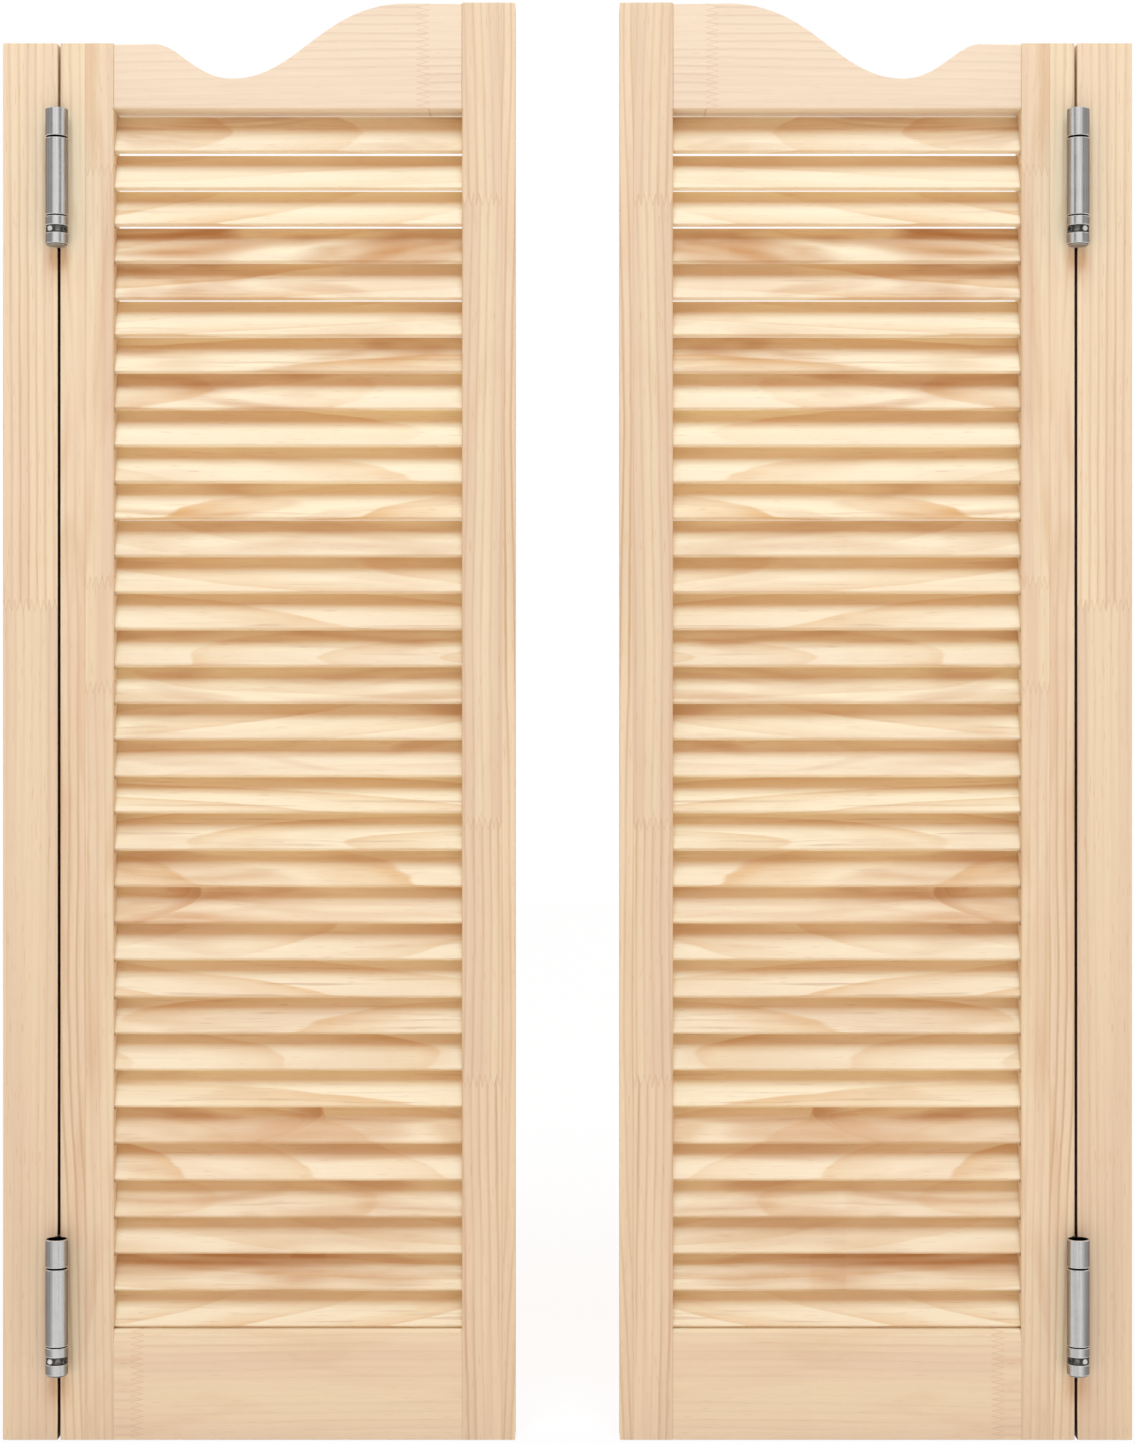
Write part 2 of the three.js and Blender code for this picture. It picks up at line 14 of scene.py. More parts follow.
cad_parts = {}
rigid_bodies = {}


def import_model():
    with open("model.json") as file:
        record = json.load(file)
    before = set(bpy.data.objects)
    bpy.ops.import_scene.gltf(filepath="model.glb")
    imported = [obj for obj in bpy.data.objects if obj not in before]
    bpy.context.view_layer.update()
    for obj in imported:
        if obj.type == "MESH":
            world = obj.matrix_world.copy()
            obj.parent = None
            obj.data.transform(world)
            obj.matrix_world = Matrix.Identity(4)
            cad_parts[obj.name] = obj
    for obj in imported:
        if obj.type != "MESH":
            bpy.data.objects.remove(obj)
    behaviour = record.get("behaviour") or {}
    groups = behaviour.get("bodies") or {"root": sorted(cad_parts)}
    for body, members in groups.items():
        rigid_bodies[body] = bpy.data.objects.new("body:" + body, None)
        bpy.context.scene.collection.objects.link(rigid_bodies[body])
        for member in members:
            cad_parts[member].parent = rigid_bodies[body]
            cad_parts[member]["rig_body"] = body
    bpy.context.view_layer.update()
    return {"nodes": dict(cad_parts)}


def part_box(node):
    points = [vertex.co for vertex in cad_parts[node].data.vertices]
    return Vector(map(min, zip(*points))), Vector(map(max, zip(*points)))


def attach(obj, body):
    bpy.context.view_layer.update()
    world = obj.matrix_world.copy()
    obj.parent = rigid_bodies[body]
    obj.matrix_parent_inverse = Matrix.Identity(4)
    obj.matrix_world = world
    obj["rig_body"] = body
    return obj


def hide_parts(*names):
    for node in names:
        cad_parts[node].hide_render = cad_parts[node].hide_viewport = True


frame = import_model()
MM = 0.001

# Woodwork sizes that the frame doesn't state
EASED_EDGE = 0.45 * MM
RAIL_EASE = 0.9 * MM
EASE_STEPS = 3
ROUND_STEPS = 6
SHOULDER_FLAT = 30.9 * MM
VALLEY_RUN = 56.9 * MM
VALLEY_DEPTH = 25.6 * MM
CREST_FLAT = 40.7 * MM
SHOULDER_EASE = 0.29
VALLEY_LOW_EASE = 0.46
VALLEY_HIGH_EASE = 0.38
CREST_EASE = 0.49
SCALLOP_STEPS = 26
RAIL_STEP = 0.8 * MM
PANEL_ROUND = 2.0 * MM
RAIL_ROUND = 3.0 * MM
RAIL_BEVEL_HEIGHT = 10.4 * MM
RAIL_BEVEL_DEPTH = 2.6 * MM
RAIL_BEVEL_HOLD = 0.4 * MM

# Louvre slats
SLAT_COUNT = 33
SLAT_WIDTH = 31.1 * MM
SLAT_THICKNESS = 4.3 * MM
SLAT_EDGE_RADIUS = 1.0 * MM
SLAT_CORNER_STEPS = 4
SLAT_TILT = math.radians(61)
SLAT_TILT_SCATTER = math.radians(0.35)
SLAT_SEAT = 6 * MM
SLAT_FIT = 0.5 * MM
SLAT_SHIFT_SCATTER = 0.3 * MM
SLAT_NOTCH = 1.6 * MM
TOP_SLAT = SLAT_COUNT - 1
SLAT_EXTRA = {TOP_SLAT: 2.05 * MM, 28: 0.9 * MM, 26: 0.5 * MM, 25: 0.7 * MM, 24: 0.5 * MM}
SLAT_TOP_CLEARANCE = 3.32 * MM
SLAT_BOTTOM_CLEARANCE = 0.38 * MM

# Hinge sizes that the frame doesn't state
LEAF_THICKNESS = 1.5 * MM
LEAF_EDGE_INSET = 4 * MM
LEAF_SEAT_GAP = 0.3 * MM
LEAF_ROUND = 0.25 * MM
BARREL_WALL = 1.5 * MM
BARREL_SIDES = 64
RIM_CHAMFER = 0.45 * MM
RIM_WEAR = 0.8 * MM
# Painted shade on the barrels' sides beside the wood, reaching further round on the jamb's side
SIDE_SHADE = 0.5
OUTER_SHADE_FROM = 0.15
OUTER_SHADE_FULL = 0.5
INNER_SHADE_FROM = 0.72
UPPER_KNUCKLE = 20.6 * MM
UPPER_KNUCKLE_GAP = 1.3 * MM
LOWER_KNUCKLE_GAP = 0.8 * MM
RUNNING_FIT = 0.3 * MM
WEB_CLEARANCE = 0.45 * MM
WINDOW_SILL = 8.1 * MM
WINDOW_TOP = 13.4 * MM
LOWER_KNUCKLE_TOP = 20.4 * MM
SCREW_ROWS = 3
SCREW_ROW_INSET = 12 * MM
SCREW_STAGGER = 4.5 * MM
SCREW_HOLE_RADIUS = 2.3 * MM
SCREW_HEAD_RADIUS = 4.1 * MM
COUNTERSINK_RADIUS = 4.3 * MM
SCREW_SIDES = 32
CROSS_LENGTH = 4.4 * MM
CROSS_WIDTH = 1.0 * MM
CROSS_DEPTH = 0.9 * MM

# Collar, pin, pivot and spring in each barrel
COLLAR_BAND_INSET = 0.3 * MM
COLLAR_JOURNAL = 5.5 * MM
COLLAR_HEAD_INSET = 0.8 * MM
COLLAR_HEAD_HEIGHT = 1.6 * MM
COLLAR_HOLES = 8
COLLAR_HOLE_RADIUS = 1.8 * MM
COLLAR_HOLE_DEPTH = 2.6 * MM
COLLAR_HOLE_SIDES = 20
PIN_RADIUS = 1.5 * MM
BALL_RADIUS = 2.2 * MM
BALL_CENTRE = 7.25 * MM
PIN_ANGLE = math.radians(28)
PIN_STEPS = 9
PIVOT_SEAT = 8 * MM
PIVOT_RECESS = 9 * MM
PIVOT_DIMPLE = 1.8 * MM
SPRING_RADIUS = 5.05 * MM
SPRING_WIRE_RADIUS = 1.1 * MM
SPRING_CURLS = 5
CURL_STEPS = 24
WIRE_SIDES = 10

# Edges and levels worked out from the frame, for the left door
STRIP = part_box("left_jamb_strip")
HINGE_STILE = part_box("left_hinge_stile")
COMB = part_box("left_meeting_stile")
TOP_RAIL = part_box("left_top_rail")
BOTTOM_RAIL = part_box("left_bottom_rail")
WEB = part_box("left_top_hinge_web")
FRONT_Y = HINGE_STILE[0].y
BACK_Y = HINGE_STILE[1].y
SHOULDER_Z = HINGE_STILE[1].z
CREST_Z = TOP_RAIL[1].z
RAIL_SHOULDER_Z = SHOULDER_Z - RAIL_STEP
RAIL_CREST_Z = CREST_Z - RAIL_STEP
VALLEY_Z = RAIL_SHOULDER_Z - VALLEY_DEPTH
RAIL_UNDERSIDE_Z = TOP_RAIL[0].z
BASE_RAIL_TOP_Z = BOTTOM_RAIL[1].z
PANEL_X = HINGE_STILE[1].x
MEETING_EDGE_X = COMB[1].x
STILE_WIDTH = HINGE_STILE[1].x - HINGE_STILE[0].x
PANEL_END_X = MEETING_EDGE_X - STILE_WIDTH
SWING_GAP = HINGE_STILE[0].x - STRIP[1].x
HINGE_X = (STRIP[1].x + HINGE_STILE[0].x) / 2
BARREL_RADIUS = (WEB[1].x - WEB[0].x) / 2
BARREL_Y = WEB[1].y - BARREL_RADIUS
BORE_RADIUS = BARREL_RADIUS - BARREL_WALL
JOURNAL_RADIUS = BORE_RADIUS - RUNNING_FIT
MIDDLE_BASE = LOWER_KNUCKLE_TOP + LOWER_KNUCKLE_GAP
COLLAR_TOP = MIDDLE_BASE + COLLAR_JOURNAL
COLLAR_HOLE_Z = (WINDOW_SILL + WINDOW_TOP) / 2
HINGE_BASES = {place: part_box(f"left_{place}_hinge_jamb_leaf")[0].z for place in ("top", "bottom")}
HINGE_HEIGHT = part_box("left_top_hinge_jamb_leaf")[1].z - HINGE_BASES["top"]
UPPER_KNUCKLE_BASE = HINGE_HEIGHT - UPPER_KNUCKLE
MIDDLE_TOP = UPPER_KNUCKLE_BASE - UPPER_KNUCKLE_GAP
PIVOT_BASE = MIDDLE_TOP - PIVOT_SEAT
FRONT = -1
REAR = 1
OVERCUT = 1 * MM
FAR_AWAY = 9.0
SMOOTH_ANGLE = math.radians(34)

# Grain: finger joints along each board, its glued seam, and its heart as (across, deep, lean)
FINGER_LENGTH = 9 * MM
FINGER_PITCH = 4.3 * MM
FRAME_RING = 6.2 * MM
SLAT_RING = 10.5 * MM
STRIP_JOINTS = (0.624,)
HINGE_STILE_JOINTS = (0.563, 0.641, 0.947)
MEETING_STILE_JOINTS = (0.271, 0.462, 0.925)
TOP_RAIL_JOINTS = (0.234,)
BOTTOM_RAIL_JOINTS = (0.022,)
HINGE_STILE_SEAM = 21 * MM
MEETING_STILE_SEAM = 29.5 * MM
STRIP_HEART = (-0.3, 0.05, 0.0)
HINGE_STILE_HEART = (-0.3, 0.05, 0.0)
MEETING_STILE_HEART = (-0.3, 0.05, 0.0)
RAIL_HEART = (-0.2, 0.05, 0.0)
BRANCH_SLATS = {5: (0.160, 0.8), 11: (0.068, 0.75)}
BRANCH_SIZE = 13 * MM

# Camera and light
VIEW_HEIGHT = 1.0716
VIEW_CENTRE_Z = 0.5328
VIEW_DISTANCE = 1.95
SENSOR_HEIGHT = 0.036
KEY_PLACE = (0, -3.19, 5.4)
KEY_SIZE = (2.9, 2.9)
KEY_POWER = 241
KEY_COLOUR = (0.71, 1.09, 1.46)
BOX_LIGHT = 1.24
SOFT_BOXES = ((0.0, 1.0), (0.32, 1.0), (0.52, 0.8), (0.64, 0.25), (0.76, 0.25), (0.86, 1.0), (0.96, 0.9), (1.0, 0.4))
FLOOR_GLOW_NEAR = 0.86
FLOOR_GLOW_FAR = 0.985
FLOOR_NEAR = 0.5
FLOOR_FAR = 1.6
FRONT_FILL = (0.6, 0.248, 0.075, 1)
BACK_FILL = (1.05, 0.79, 0.58, 1)
AIM = Vector((0, 0, 0.55))


class Graph:
    """A short way to write a node tree."""

    def __init__(self, tree):
        self.tree = tree
        tree.nodes.clear()

    def add(self, kind, inputs=None, **settings):
        node = self.tree.nodes.new(kind)
        for key, value in settings.items():
            setattr(node, key, value)
        for key, value in (inputs or {}).items():
            self.feed(node.inputs[key], value)
        return node

    def feed(self, socket, value):
        if isinstance(value, bpy.types.NodeSocket):
            self.tree.links.new(value, socket)
        else:
            socket.default_value = value

    def math(self, operation, *values, clamp=False):
        node = self.add("ShaderNodeMath", operation=operation, use_clamp=clamp)
        for socket, value in zip(node.inputs, values):
            self.feed(socket, value)
        return node.outputs[0]

    def split(self, vector):
        return self.add("ShaderNodeSeparateXYZ", {0: vector}).outputs

    def join(self, x, y, z):
        return self.add("ShaderNodeCombineXYZ", {0: x, 1: y, 2: z}).outputs[0]

    def scaled(self, vector, factors):
        node = self.add("ShaderNodeVectorMath", {0: vector, 1: factors}, operation="MULTIPLY")
        return node.outputs[0]

    def attribute(self, name):
        return self.add("ShaderNodeAttribute", attribute_name=name)

    def noise(self, vector, detail=2.0, roughness=0.5, distortion=0.0):
        inputs = {"Vector": vector, "Scale": 1.0, "Detail": detail}
        node = self.add("ShaderNodeTexNoise", inputs)
        node.inputs["Roughness"].default_value = roughness
        node.inputs["Distortion"].default_value = distortion
        return node.outputs[0]

    def ramp(self, factor, stops, interpolation="LINEAR"):
        node = self.add("ShaderNodeValToRGB", {0: factor})
        node.color_ramp.interpolation = interpolation
        elements = node.color_ramp.elements
        while len(elements) < len(stops):
            elements.new(0.5)
        for element, (position, level) in zip(elements, stops):
            element.position = position
            element.color = (level, level, level, 1)
        return node.outputs[0]

    def span(self, value, low, high, start=0.0, end=1.0):
        inputs = {0: value, 1: low, 2: high, 3: start, 4: end}
        node = self.add("ShaderNodeMapRange", inputs, clamp=True)
        return node.outputs[0]

    def blend(self, factor, first, second, mode="MIX"):
        node = self.add("ShaderNodeMix", data_type="RGBA", blend_type=mode)
        self.feed(node.inputs[0], factor)
        self.feed(node.inputs[6], first)
        self.feed(node.inputs[7], second)
        return node.outputs[2]

    def finish(self, shader):
        output = self.add("ShaderNodeOutputMaterial")
        self.tree.links.new(shader, output.inputs["Surface"])


def new_material(name):
    material = bpy.data.materials.new(name)
    material.use_nodes = True
    return material, Graph(material.node_tree)


def rgb(red, green, blue):
    """A colour given as it looks on screen, 0 to 255."""
    levels = [value / 255 for value in (red, green, blue)]
    linear = [v / 12.92 if v <= 0.04045 else ((v + 0.055) / 1.055) ** 2.4 for v in levels]
    return (*linear, 1)


FRAME_YELLOW = rgb(234, 217, 179)
FRAME_PINK = rgb(227, 205, 172)
FRAME_LATE = rgb(199, 171, 130)
SLAT_CREAM = rgb(244, 233, 196)
SLAT_PINK = rgb(239, 225, 191)
SLAT_LATE = rgb(217, 174, 114)
FLAME = rgb(191, 132, 72)
VEIN = rgb(176, 126, 78)
PALE = rgb(250, 238, 214)
# Painted shade for the jamb strip's face in the shut swing gap
NOOK_DEPTH = 20 * MM
GAP_SHADE_COLOUR = rgb(72, 38, 24)
GAP_SHADE_TOP = HINGE_BASES["top"] + HINGE_HEIGHT
GAP_SHADE_FADE = 4 * MM


def pine():
    """Clear pine sawn from a ringed log; its attributes place each board in the log."""
    material, graph = new_material("pine")
    grain = graph.attribute("grain").outputs["Vector"]
    along, across, deep = graph.split(grain)
    seed, seam, gap_shade_across = graph.split(graph.attribute("cut").outputs["Vector"])
    heart = graph.split(graph.attribute("heart").outputs["Vector"])
    joints = graph.split(graph.attribute("joints").outputs["Vector"])
    slat, lines, flamy = graph.split(graph.attribute("figure").outputs["Vector"])
    branch_at = graph.split(graph.attribute("branch").outputs["Vector"])

    # Finger joints and the glued seam part the board into lengths of different wood
    half_pitch = FINGER_PITCH / 2
    tooth = graph.math("PINGPONG", across, half_pitch)
    reach = graph.math("MULTIPLY_ADD", tooth, FINGER_LENGTH / half_pitch, along)
    lengths = graph.math("GREATER_THAN", reach, joints[0])
    glue = graph.math("COMPARE", reach, joints[0], 0.8 * MM)
    for joint in joints[1:]:
        lengths = graph.math("ADD", lengths, graph.math("GREATER_THAN", reach, joint))
        glue = graph.math("ADD", glue, graph.math("COMPARE", reach, joint, 0.8 * MM))
    beside = graph.math("GREATER_THAN", across, seam)
    main = graph.math("SUBTRACT", 1.0, beside)
    lengths = graph.math("MULTIPLY", lengths, main)
    glue = graph.math("MULTIPLY", glue, main)
    seam_line = graph.math("COMPARE", across, seam, 0.5 * MM)
    board = graph.math("MULTIPLY_ADD", beside, 5.0, lengths)
    number = graph.math("MULTIPLY_ADD", board, 1.37, seed)
    chance = graph.add("ShaderNodeTexWhiteNoise", {"W": number}, noise_dimensions="1D")
    luck = graph.split(chance.outputs["Color"])
    place = graph.add("ShaderNodeVectorMath", {0: grain, 1: chance.outputs["Color"]}, operation="ADD")
    place = place.outputs[0]

    # Growth rings about a heart that wanders along the board
    wander = graph.noise(graph.scaled(place, (1.7, 6, 6)), detail=1.5)
    ripple = graph.noise(graph.scaled(place, (9, 48, 48)), detail=2)
    sway = graph.math("MULTIPLY_ADD", graph.math("MAXIMUM", slat, beside), 0.03, 0.014)
    side = graph.math("SUBTRACT", across, heart[0])
    side = graph.math("MULTIPLY_ADD", graph.math("SUBTRACT", wander, 0.5), sway, side)
    slant = graph.math("MULTIPLY", graph.math("SUBTRACT", luck[0], 0.5), 0.05)
    side = graph.math("MULTIPLY_ADD", slant, along, side)
    depth = graph.math("MULTIPLY_ADD", heart[2], along, graph.math("ADD", deep, heart[1]))
    depth = graph.math("MULTIPLY_ADD", luck[1], 0.02, depth)
    square = graph.math("MULTIPLY_ADD", depth, depth, graph.math("MULTIPLY", side, side))
    radius = graph.math("SQRT", square)
    radius = graph.math("MULTIPLY_ADD", graph.math("SUBTRACT", ripple, 0.5), 0.0035, radius)

    # A side branch ends a dark flame of some slats in a blunt tongue
    from_along = graph.math("DIVIDE", graph.math("SUBTRACT", along, branch_at[0]), BRANCH_SIZE)
    from_across = graph.math("DIVIDE", graph.math("SUBTRACT", across, branch_at[1]), BRANCH_SIZE)
    past_branch = graph.math("MULTIPLY_ADD", from_across, from_across, from_along)
    past_branch = graph.math("MULTIPLY_ADD", graph.math("SUBTRACT", ripple, 0.5), 0.9, past_branch)
    radius = graph.math("MULTIPLY_ADD", graph.span(past_branch, -1.0, 0.4), SLAT_RING, radius)
    branch = graph.ramp(graph.span(past_branch, -3.0, 1.0), [(0.0, 0.0), (0.72, 1.0), (0.8, 0.0)], "EASE")

    pitch = graph.math("MULTIPLY_ADD", slat, SLAT_RING - FRAME_RING, FRAME_RING)
    ring = graph.math("FRACT", graph.math("DIVIDE", radius, pitch))
    line = graph.ramp(ring, [(0.0, 0.0), (0.5, 0.1), (0.8, 1.0), (0.9, 0.6), (1.0, 0.0)], "EASE")
    band = graph.ramp(ring, [(0.0, 0.0), (0.35, 0.12), (0.75, 0.6), (0.94, 1.0), (0.985, 0.0)], "EASE")
    late = graph.math("MULTIPLY_ADD", graph.math("SUBTRACT", band, line), slat, line)
    patch = graph.noise(graph.scaled(place, (2.4, 26, 26)), detail=2)
    late = graph.math("MULTIPLY", late, graph.span(patch, 0.34, 0.66, 0.1, 0.95))
    late = graph.math("MULTIPLY", late, graph.math("MULTIPLY_ADD", luck[2], 0.4, 0.55))
    late = graph.math("MULTIPLY", late, graph.math("MAXIMUM", lines, beside))

    # Fibres, tinted streaks, flecks of resin and the broad flame of a plain-sawn slat
    fibre = graph.noise(graph.scaled(place, (20, 800, 800)), detail=2, roughness=0.6)
    streak = graph.noise(graph.scaled(place, (1.5, 75, 75)), detail=2)
    fleck = graph.noise(graph.scaled(place, (70, 1100, 1100)), detail=0)
    fleck = graph.span(fleck, 0.73, 0.8)
    flame = graph.noise(graph.scaled(place, (6, 34, 34)), detail=2, roughness=0.5, distortion=0.8)
    flame = graph.math("MULTIPLY", graph.span(flame, 0.48, 0.7), flamy)
    flame = graph.math("MAXIMUM", flame, graph.math("MULTIPLY", branch, 0.6))
    vein = graph.noise(graph.scaled(place, (11, 330, 330)), detail=2, distortion=0.3)
    vein = graph.math("MULTIPLY", graph.span(vein, 0.6, 0.72), graph.span(patch, 0.45, 0.6))
    vein = graph.math("MULTIPLY", vein, graph.math("MULTIPLY_ADD", slat, 0.26, 0.12))

    tint = graph.span(streak, 0.36, 0.64)
    tint = graph.math("MULTIPLY_ADD", graph.math("SUBTRACT", luck[0], 0.5), 0.7, tint, clamp=True)
    frame_wood = graph.blend(tint, FRAME_YELLOW, FRAME_PINK)
    frame_wood = graph.blend(late, frame_wood, FRAME_LATE)
    slat_wood = graph.blend(tint, SLAT_CREAM, SLAT_PINK)
    slat_wood = graph.blend(late, slat_wood, SLAT_LATE)
    colour = graph.blend(slat, frame_wood, slat_wood)
    colour = graph.blend(flame, colour, FLAME)
    colour = graph.blend(vein, colour, VEIN)
    colour = graph.blend(graph.math("MULTIPLY", fleck, 0.25), colour, FLAME)
    colour = graph.blend(branch_at[2], colour, PALE)
    joint = graph.math("MULTIPLY_ADD", seam_line, 0.6, glue)
    colour = graph.blend(graph.math("MULTIPLY", joint, 0.3, clamp=True), colour, FLAME)
    shade = graph.math("MULTIPLY_ADD", fibre, 0.12, 0.94)
    shade = graph.math("MULTIPLY_ADD", graph.math("SUBTRACT", luck[2], 0.5), 0.05, shade)
    colour = graph.blend(1.0, colour, graph.join(shade, shade, shade), "MULTIPLY")

    # Painted shade: the face that looks into the shut swing gap is darkened in colour, by ambient occlusion, for as
    # long as the gap is shut, up to the top hinge's top
    past = graph.math("SUBTRACT", across, gap_shade_across)
    nook = graph.add("ShaderNodeAmbientOcclusion", {"Distance": NOOK_DEPTH}, samples=4).outputs["AO"]
    shut = graph.math("MULTIPLY", graph.span(nook, 0.45, 0.8, 1.0, 0.0), graph.span(past, -0.4 * MM, -0.1 * MM))
    shut = graph.math("MULTIPLY", shut, graph.span(along, GAP_SHADE_TOP, GAP_SHADE_TOP + GAP_SHADE_FADE, 1.0, 0.0))
    colour = graph.blend(shut, colour, GAP_SHADE_COLOUR)

    relief = graph.math("MULTIPLY_ADD", late, 0.5, fibre)
    bump = graph.add("ShaderNodeBump", {"Height": relief, "Strength": 0.2, "Distance": 0.0003})
    rough = graph.math("MULTIPLY_ADD", fibre, 0.16, 0.5)
    rough = graph.math("MULTIPLY_ADD", late, -0.06, rough)
    shader = graph.add("ShaderNodeBsdfPrincipled", {
        "Base Color": colour,
        "Roughness": rough,
        "Normal": bump.outputs[0],
        "Specular IOR Level": 0.3,
    })
    graph.finish(shader.outputs[0])
    return material


def steel(name, dull, bright, roughness, brushed):
    """Brushed steel with cloudy dulling; above nought the attribute lightens it, for worn rims and ends and a
    painted highlight on the collar's dome, and below nought it darkens it as painted shade.
    """
    material, graph = new_material(name)
    place = graph.add("ShaderNodeTexCoord").outputs["Object"]
    brush = graph.noise(graph.scaled(place, brushed), detail=3, roughness=0.65)
    drawn = graph.noise(graph.scaled(place, [value * DRAWN_SHARE for value in brushed]), detail=2)
    cloud = graph.noise(graph.scaled(place, (170, 170, 110)), detail=3)
    wear_and_painted_light = graph.attribute("wear_and_painted_light").outputs["Fac"]
    tone = graph.math("MULTIPLY_ADD", brush, 0.22, graph.math("MULTIPLY", cloud, 0.3))
    tone = graph.math("MULTIPLY_ADD", graph.span(drawn, 0.3, 0.7), 0.4, tone)
    tone = graph.math("MULTIPLY_ADD", wear_and_painted_light, 0.3, tone, clamp=True)
    colour = graph.blend(tone, dull, bright)
    # Painted shade: below nought the attribute darkens the colour towards near black, in bores, gaps, the barrel's
    # window and beside the wood
    colour = graph.blend(graph.math("MULTIPLY", wear_and_painted_light, -1.0, clamp=True), colour, PAINTED_SHADE_STEEL)
    rough = graph.math("MULTIPLY_ADD", cloud, 0.14, roughness)
    rough = graph.math("MULTIPLY_ADD", brush, 0.1, rough)
    rough = graph.math("MULTIPLY_ADD", graph.math("ABSOLUTE", wear_and_painted_light), 0.2, rough)
    bump = graph.add("ShaderNodeBump", {"Height": brush, "Strength": 0.018, "Distance": 0.00008})
    shader = graph.add("ShaderNodeBsdfPrincipled", {
        "Base Color": colour,
        "Metallic": 1.0,
        "Roughness": rough,
        "Normal": bump.outputs[0],
    })
    graph.finish(shader.outputs[0])
    return material


DRAWN_SHARE = 0.2
# Near black for painted shade on steel
PAINTED_SHADE_STEEL = rgb(16, 15, 14)
ALONG_BARREL = (2600, 2600, 45)
ROUND_BARREL = (60, 60, 3200)
PINE = pine()
FINISHES = {
    "pine": PINE,
    "satin_steel": steel("satin_steel", rgb(162, 161, 161), rgb(226, 225, 224), 0.15, ALONG_BARREL),
    "dark_steel": steel("dark_steel", rgb(46, 44, 42), rgb(196, 193, 189), 0.3, ROUND_BARREL),
    "spring_steel": steel("spring_steel", rgb(96, 94, 92), rgb(140, 138, 134), 0.3, ROUND_BARREL),
}


def new_object(name, mesh):
    piece = bpy.data.objects.new(name, mesh)
    bpy.context.scene.collection.objects.link(piece)
    return piece


def mesh_from(name, form):
    mesh = bpy.data.meshes.new(name)
    bmesh.ops.recalc_face_normals(form, faces=form.faces[:])
    form.to_mesh(mesh)
    form.free()
    return mesh


def smooth(mesh):
    mesh.shade_smooth()
    mesh.set_sharp_from_angle(angle=SMOOTH_ANGLE)


def place_piece(name, mesh, node, slot, stands_in=True):
    """Puts a finished mesh in the scene on its node's body, in the finish of a material slot."""
    smooth(mesh)
    piece = new_object(name, mesh)
    piece.data.materials.append(FINISHES[slot])
    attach(piece, frame["nodes"][node]["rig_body"])
    if stands_in:
        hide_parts(node)
    return piece


def carve(mesh, cutter_mesh):
    """Cuts one closed mesh out of another."""
    target = new_object("carve_target", mesh)
    cutter = new_object("carve_cutter", cutter_mesh)
    modifier = target.modifiers.new("carve", "BOOLEAN")
    modifier.operation = "DIFFERENCE"
    modifier.solver = "EXACT"
    modifier.object = cutter
    bpy.context.view_layer.update()
    graph = bpy.context.evaluated_depsgraph_get()
    carved = bpy.data.meshes.new_from_object(target.evaluated_get(graph))
    carved.name = mesh.name + "_carved"
    bpy.data.objects.remove(target)
    bpy.data.objects.remove(cutter)
    return carved


def joined(name, forms):
    """One bmesh holding several others."""
    whole = bmesh.new()
    for form in forms:
        part = mesh_from(name, form)
        whole.from_mesh(part)
        bpy.data.meshes.remove(part)
    return whole


def block(low, high, radius=0.0, steps=EASE_STEPS):
    """A box between two corners, with all its edges rounded."""
    form = bmesh.new()
    bmesh.ops.create_cube(form, size=1)
    size = Vector(high) - Vector(low)
    middle = (Vector(high) + Vector(low)) / 2
    for vertex in form.verts:
        vertex.co = Vector(a * b for a, b in zip(vertex.co, size)) + middle
    if radius:
        bmesh.ops.bevel(form, geom=form.edges[:], offset=radius, segments=steps, profile=0.5,
                        affect="EDGES")
    return form


def prism(outline, extent):
    """A flat outline carried along a vector, with both ends closed."""
    form = bmesh.new()
    near = [form.verts.new(point) for point in outline]
    far = [form.verts.new(Vector(point) + extent) for point in outline]
    form.faces.new(near)
    form.faces.new(reversed(far))
    for index, vertex in enumerate(near):
        after = (index + 1) % len(near)
        form.faces.new((vertex, far[index], far[after], near[after]))
    return form


def lathe(profile, sides, closed=False):
    """A form of revolution about Z from (radius, height, wear and painted light) stations."""
    form = bmesh.new()
    wear_and_light_layer = form.verts.layers.float.new("wear_and_painted_light")
    rings = []
    for radius, height, wear_and_painted_light in profile:
        count = sides if radius else 1
        ring = []
        for side in range(count):
            turn = 2 * math.pi * side / sides
            vertex = form.verts.new((radius * math.cos(turn), radius * math.sin(turn), height))
            vertex[wear_and_light_layer] = wear_and_painted_light
            ring.append(vertex)
        rings.append(ring)
    pairs = list(zip(rings, rings[1:]))
    if closed:
        pairs.append((rings[-1], rings[0]))
    for first, second in pairs:
        for side in range(sides):
            after = (side + 1) % sides
            corners = [first[side % len(first)], first[after % len(first)],
                       second[after % len(second)], second[side % len(second)]]
            form.faces.new(dict.fromkeys(corners))
    return form


def moved(form, offset=(0, 0, 0), turn=0.0):
    matrix = Matrix.Translation(offset) @ Matrix.Rotation(turn, 4, "Z")
    bmesh.ops.transform(form, matrix=matrix, verts=form.verts[:])
    return form


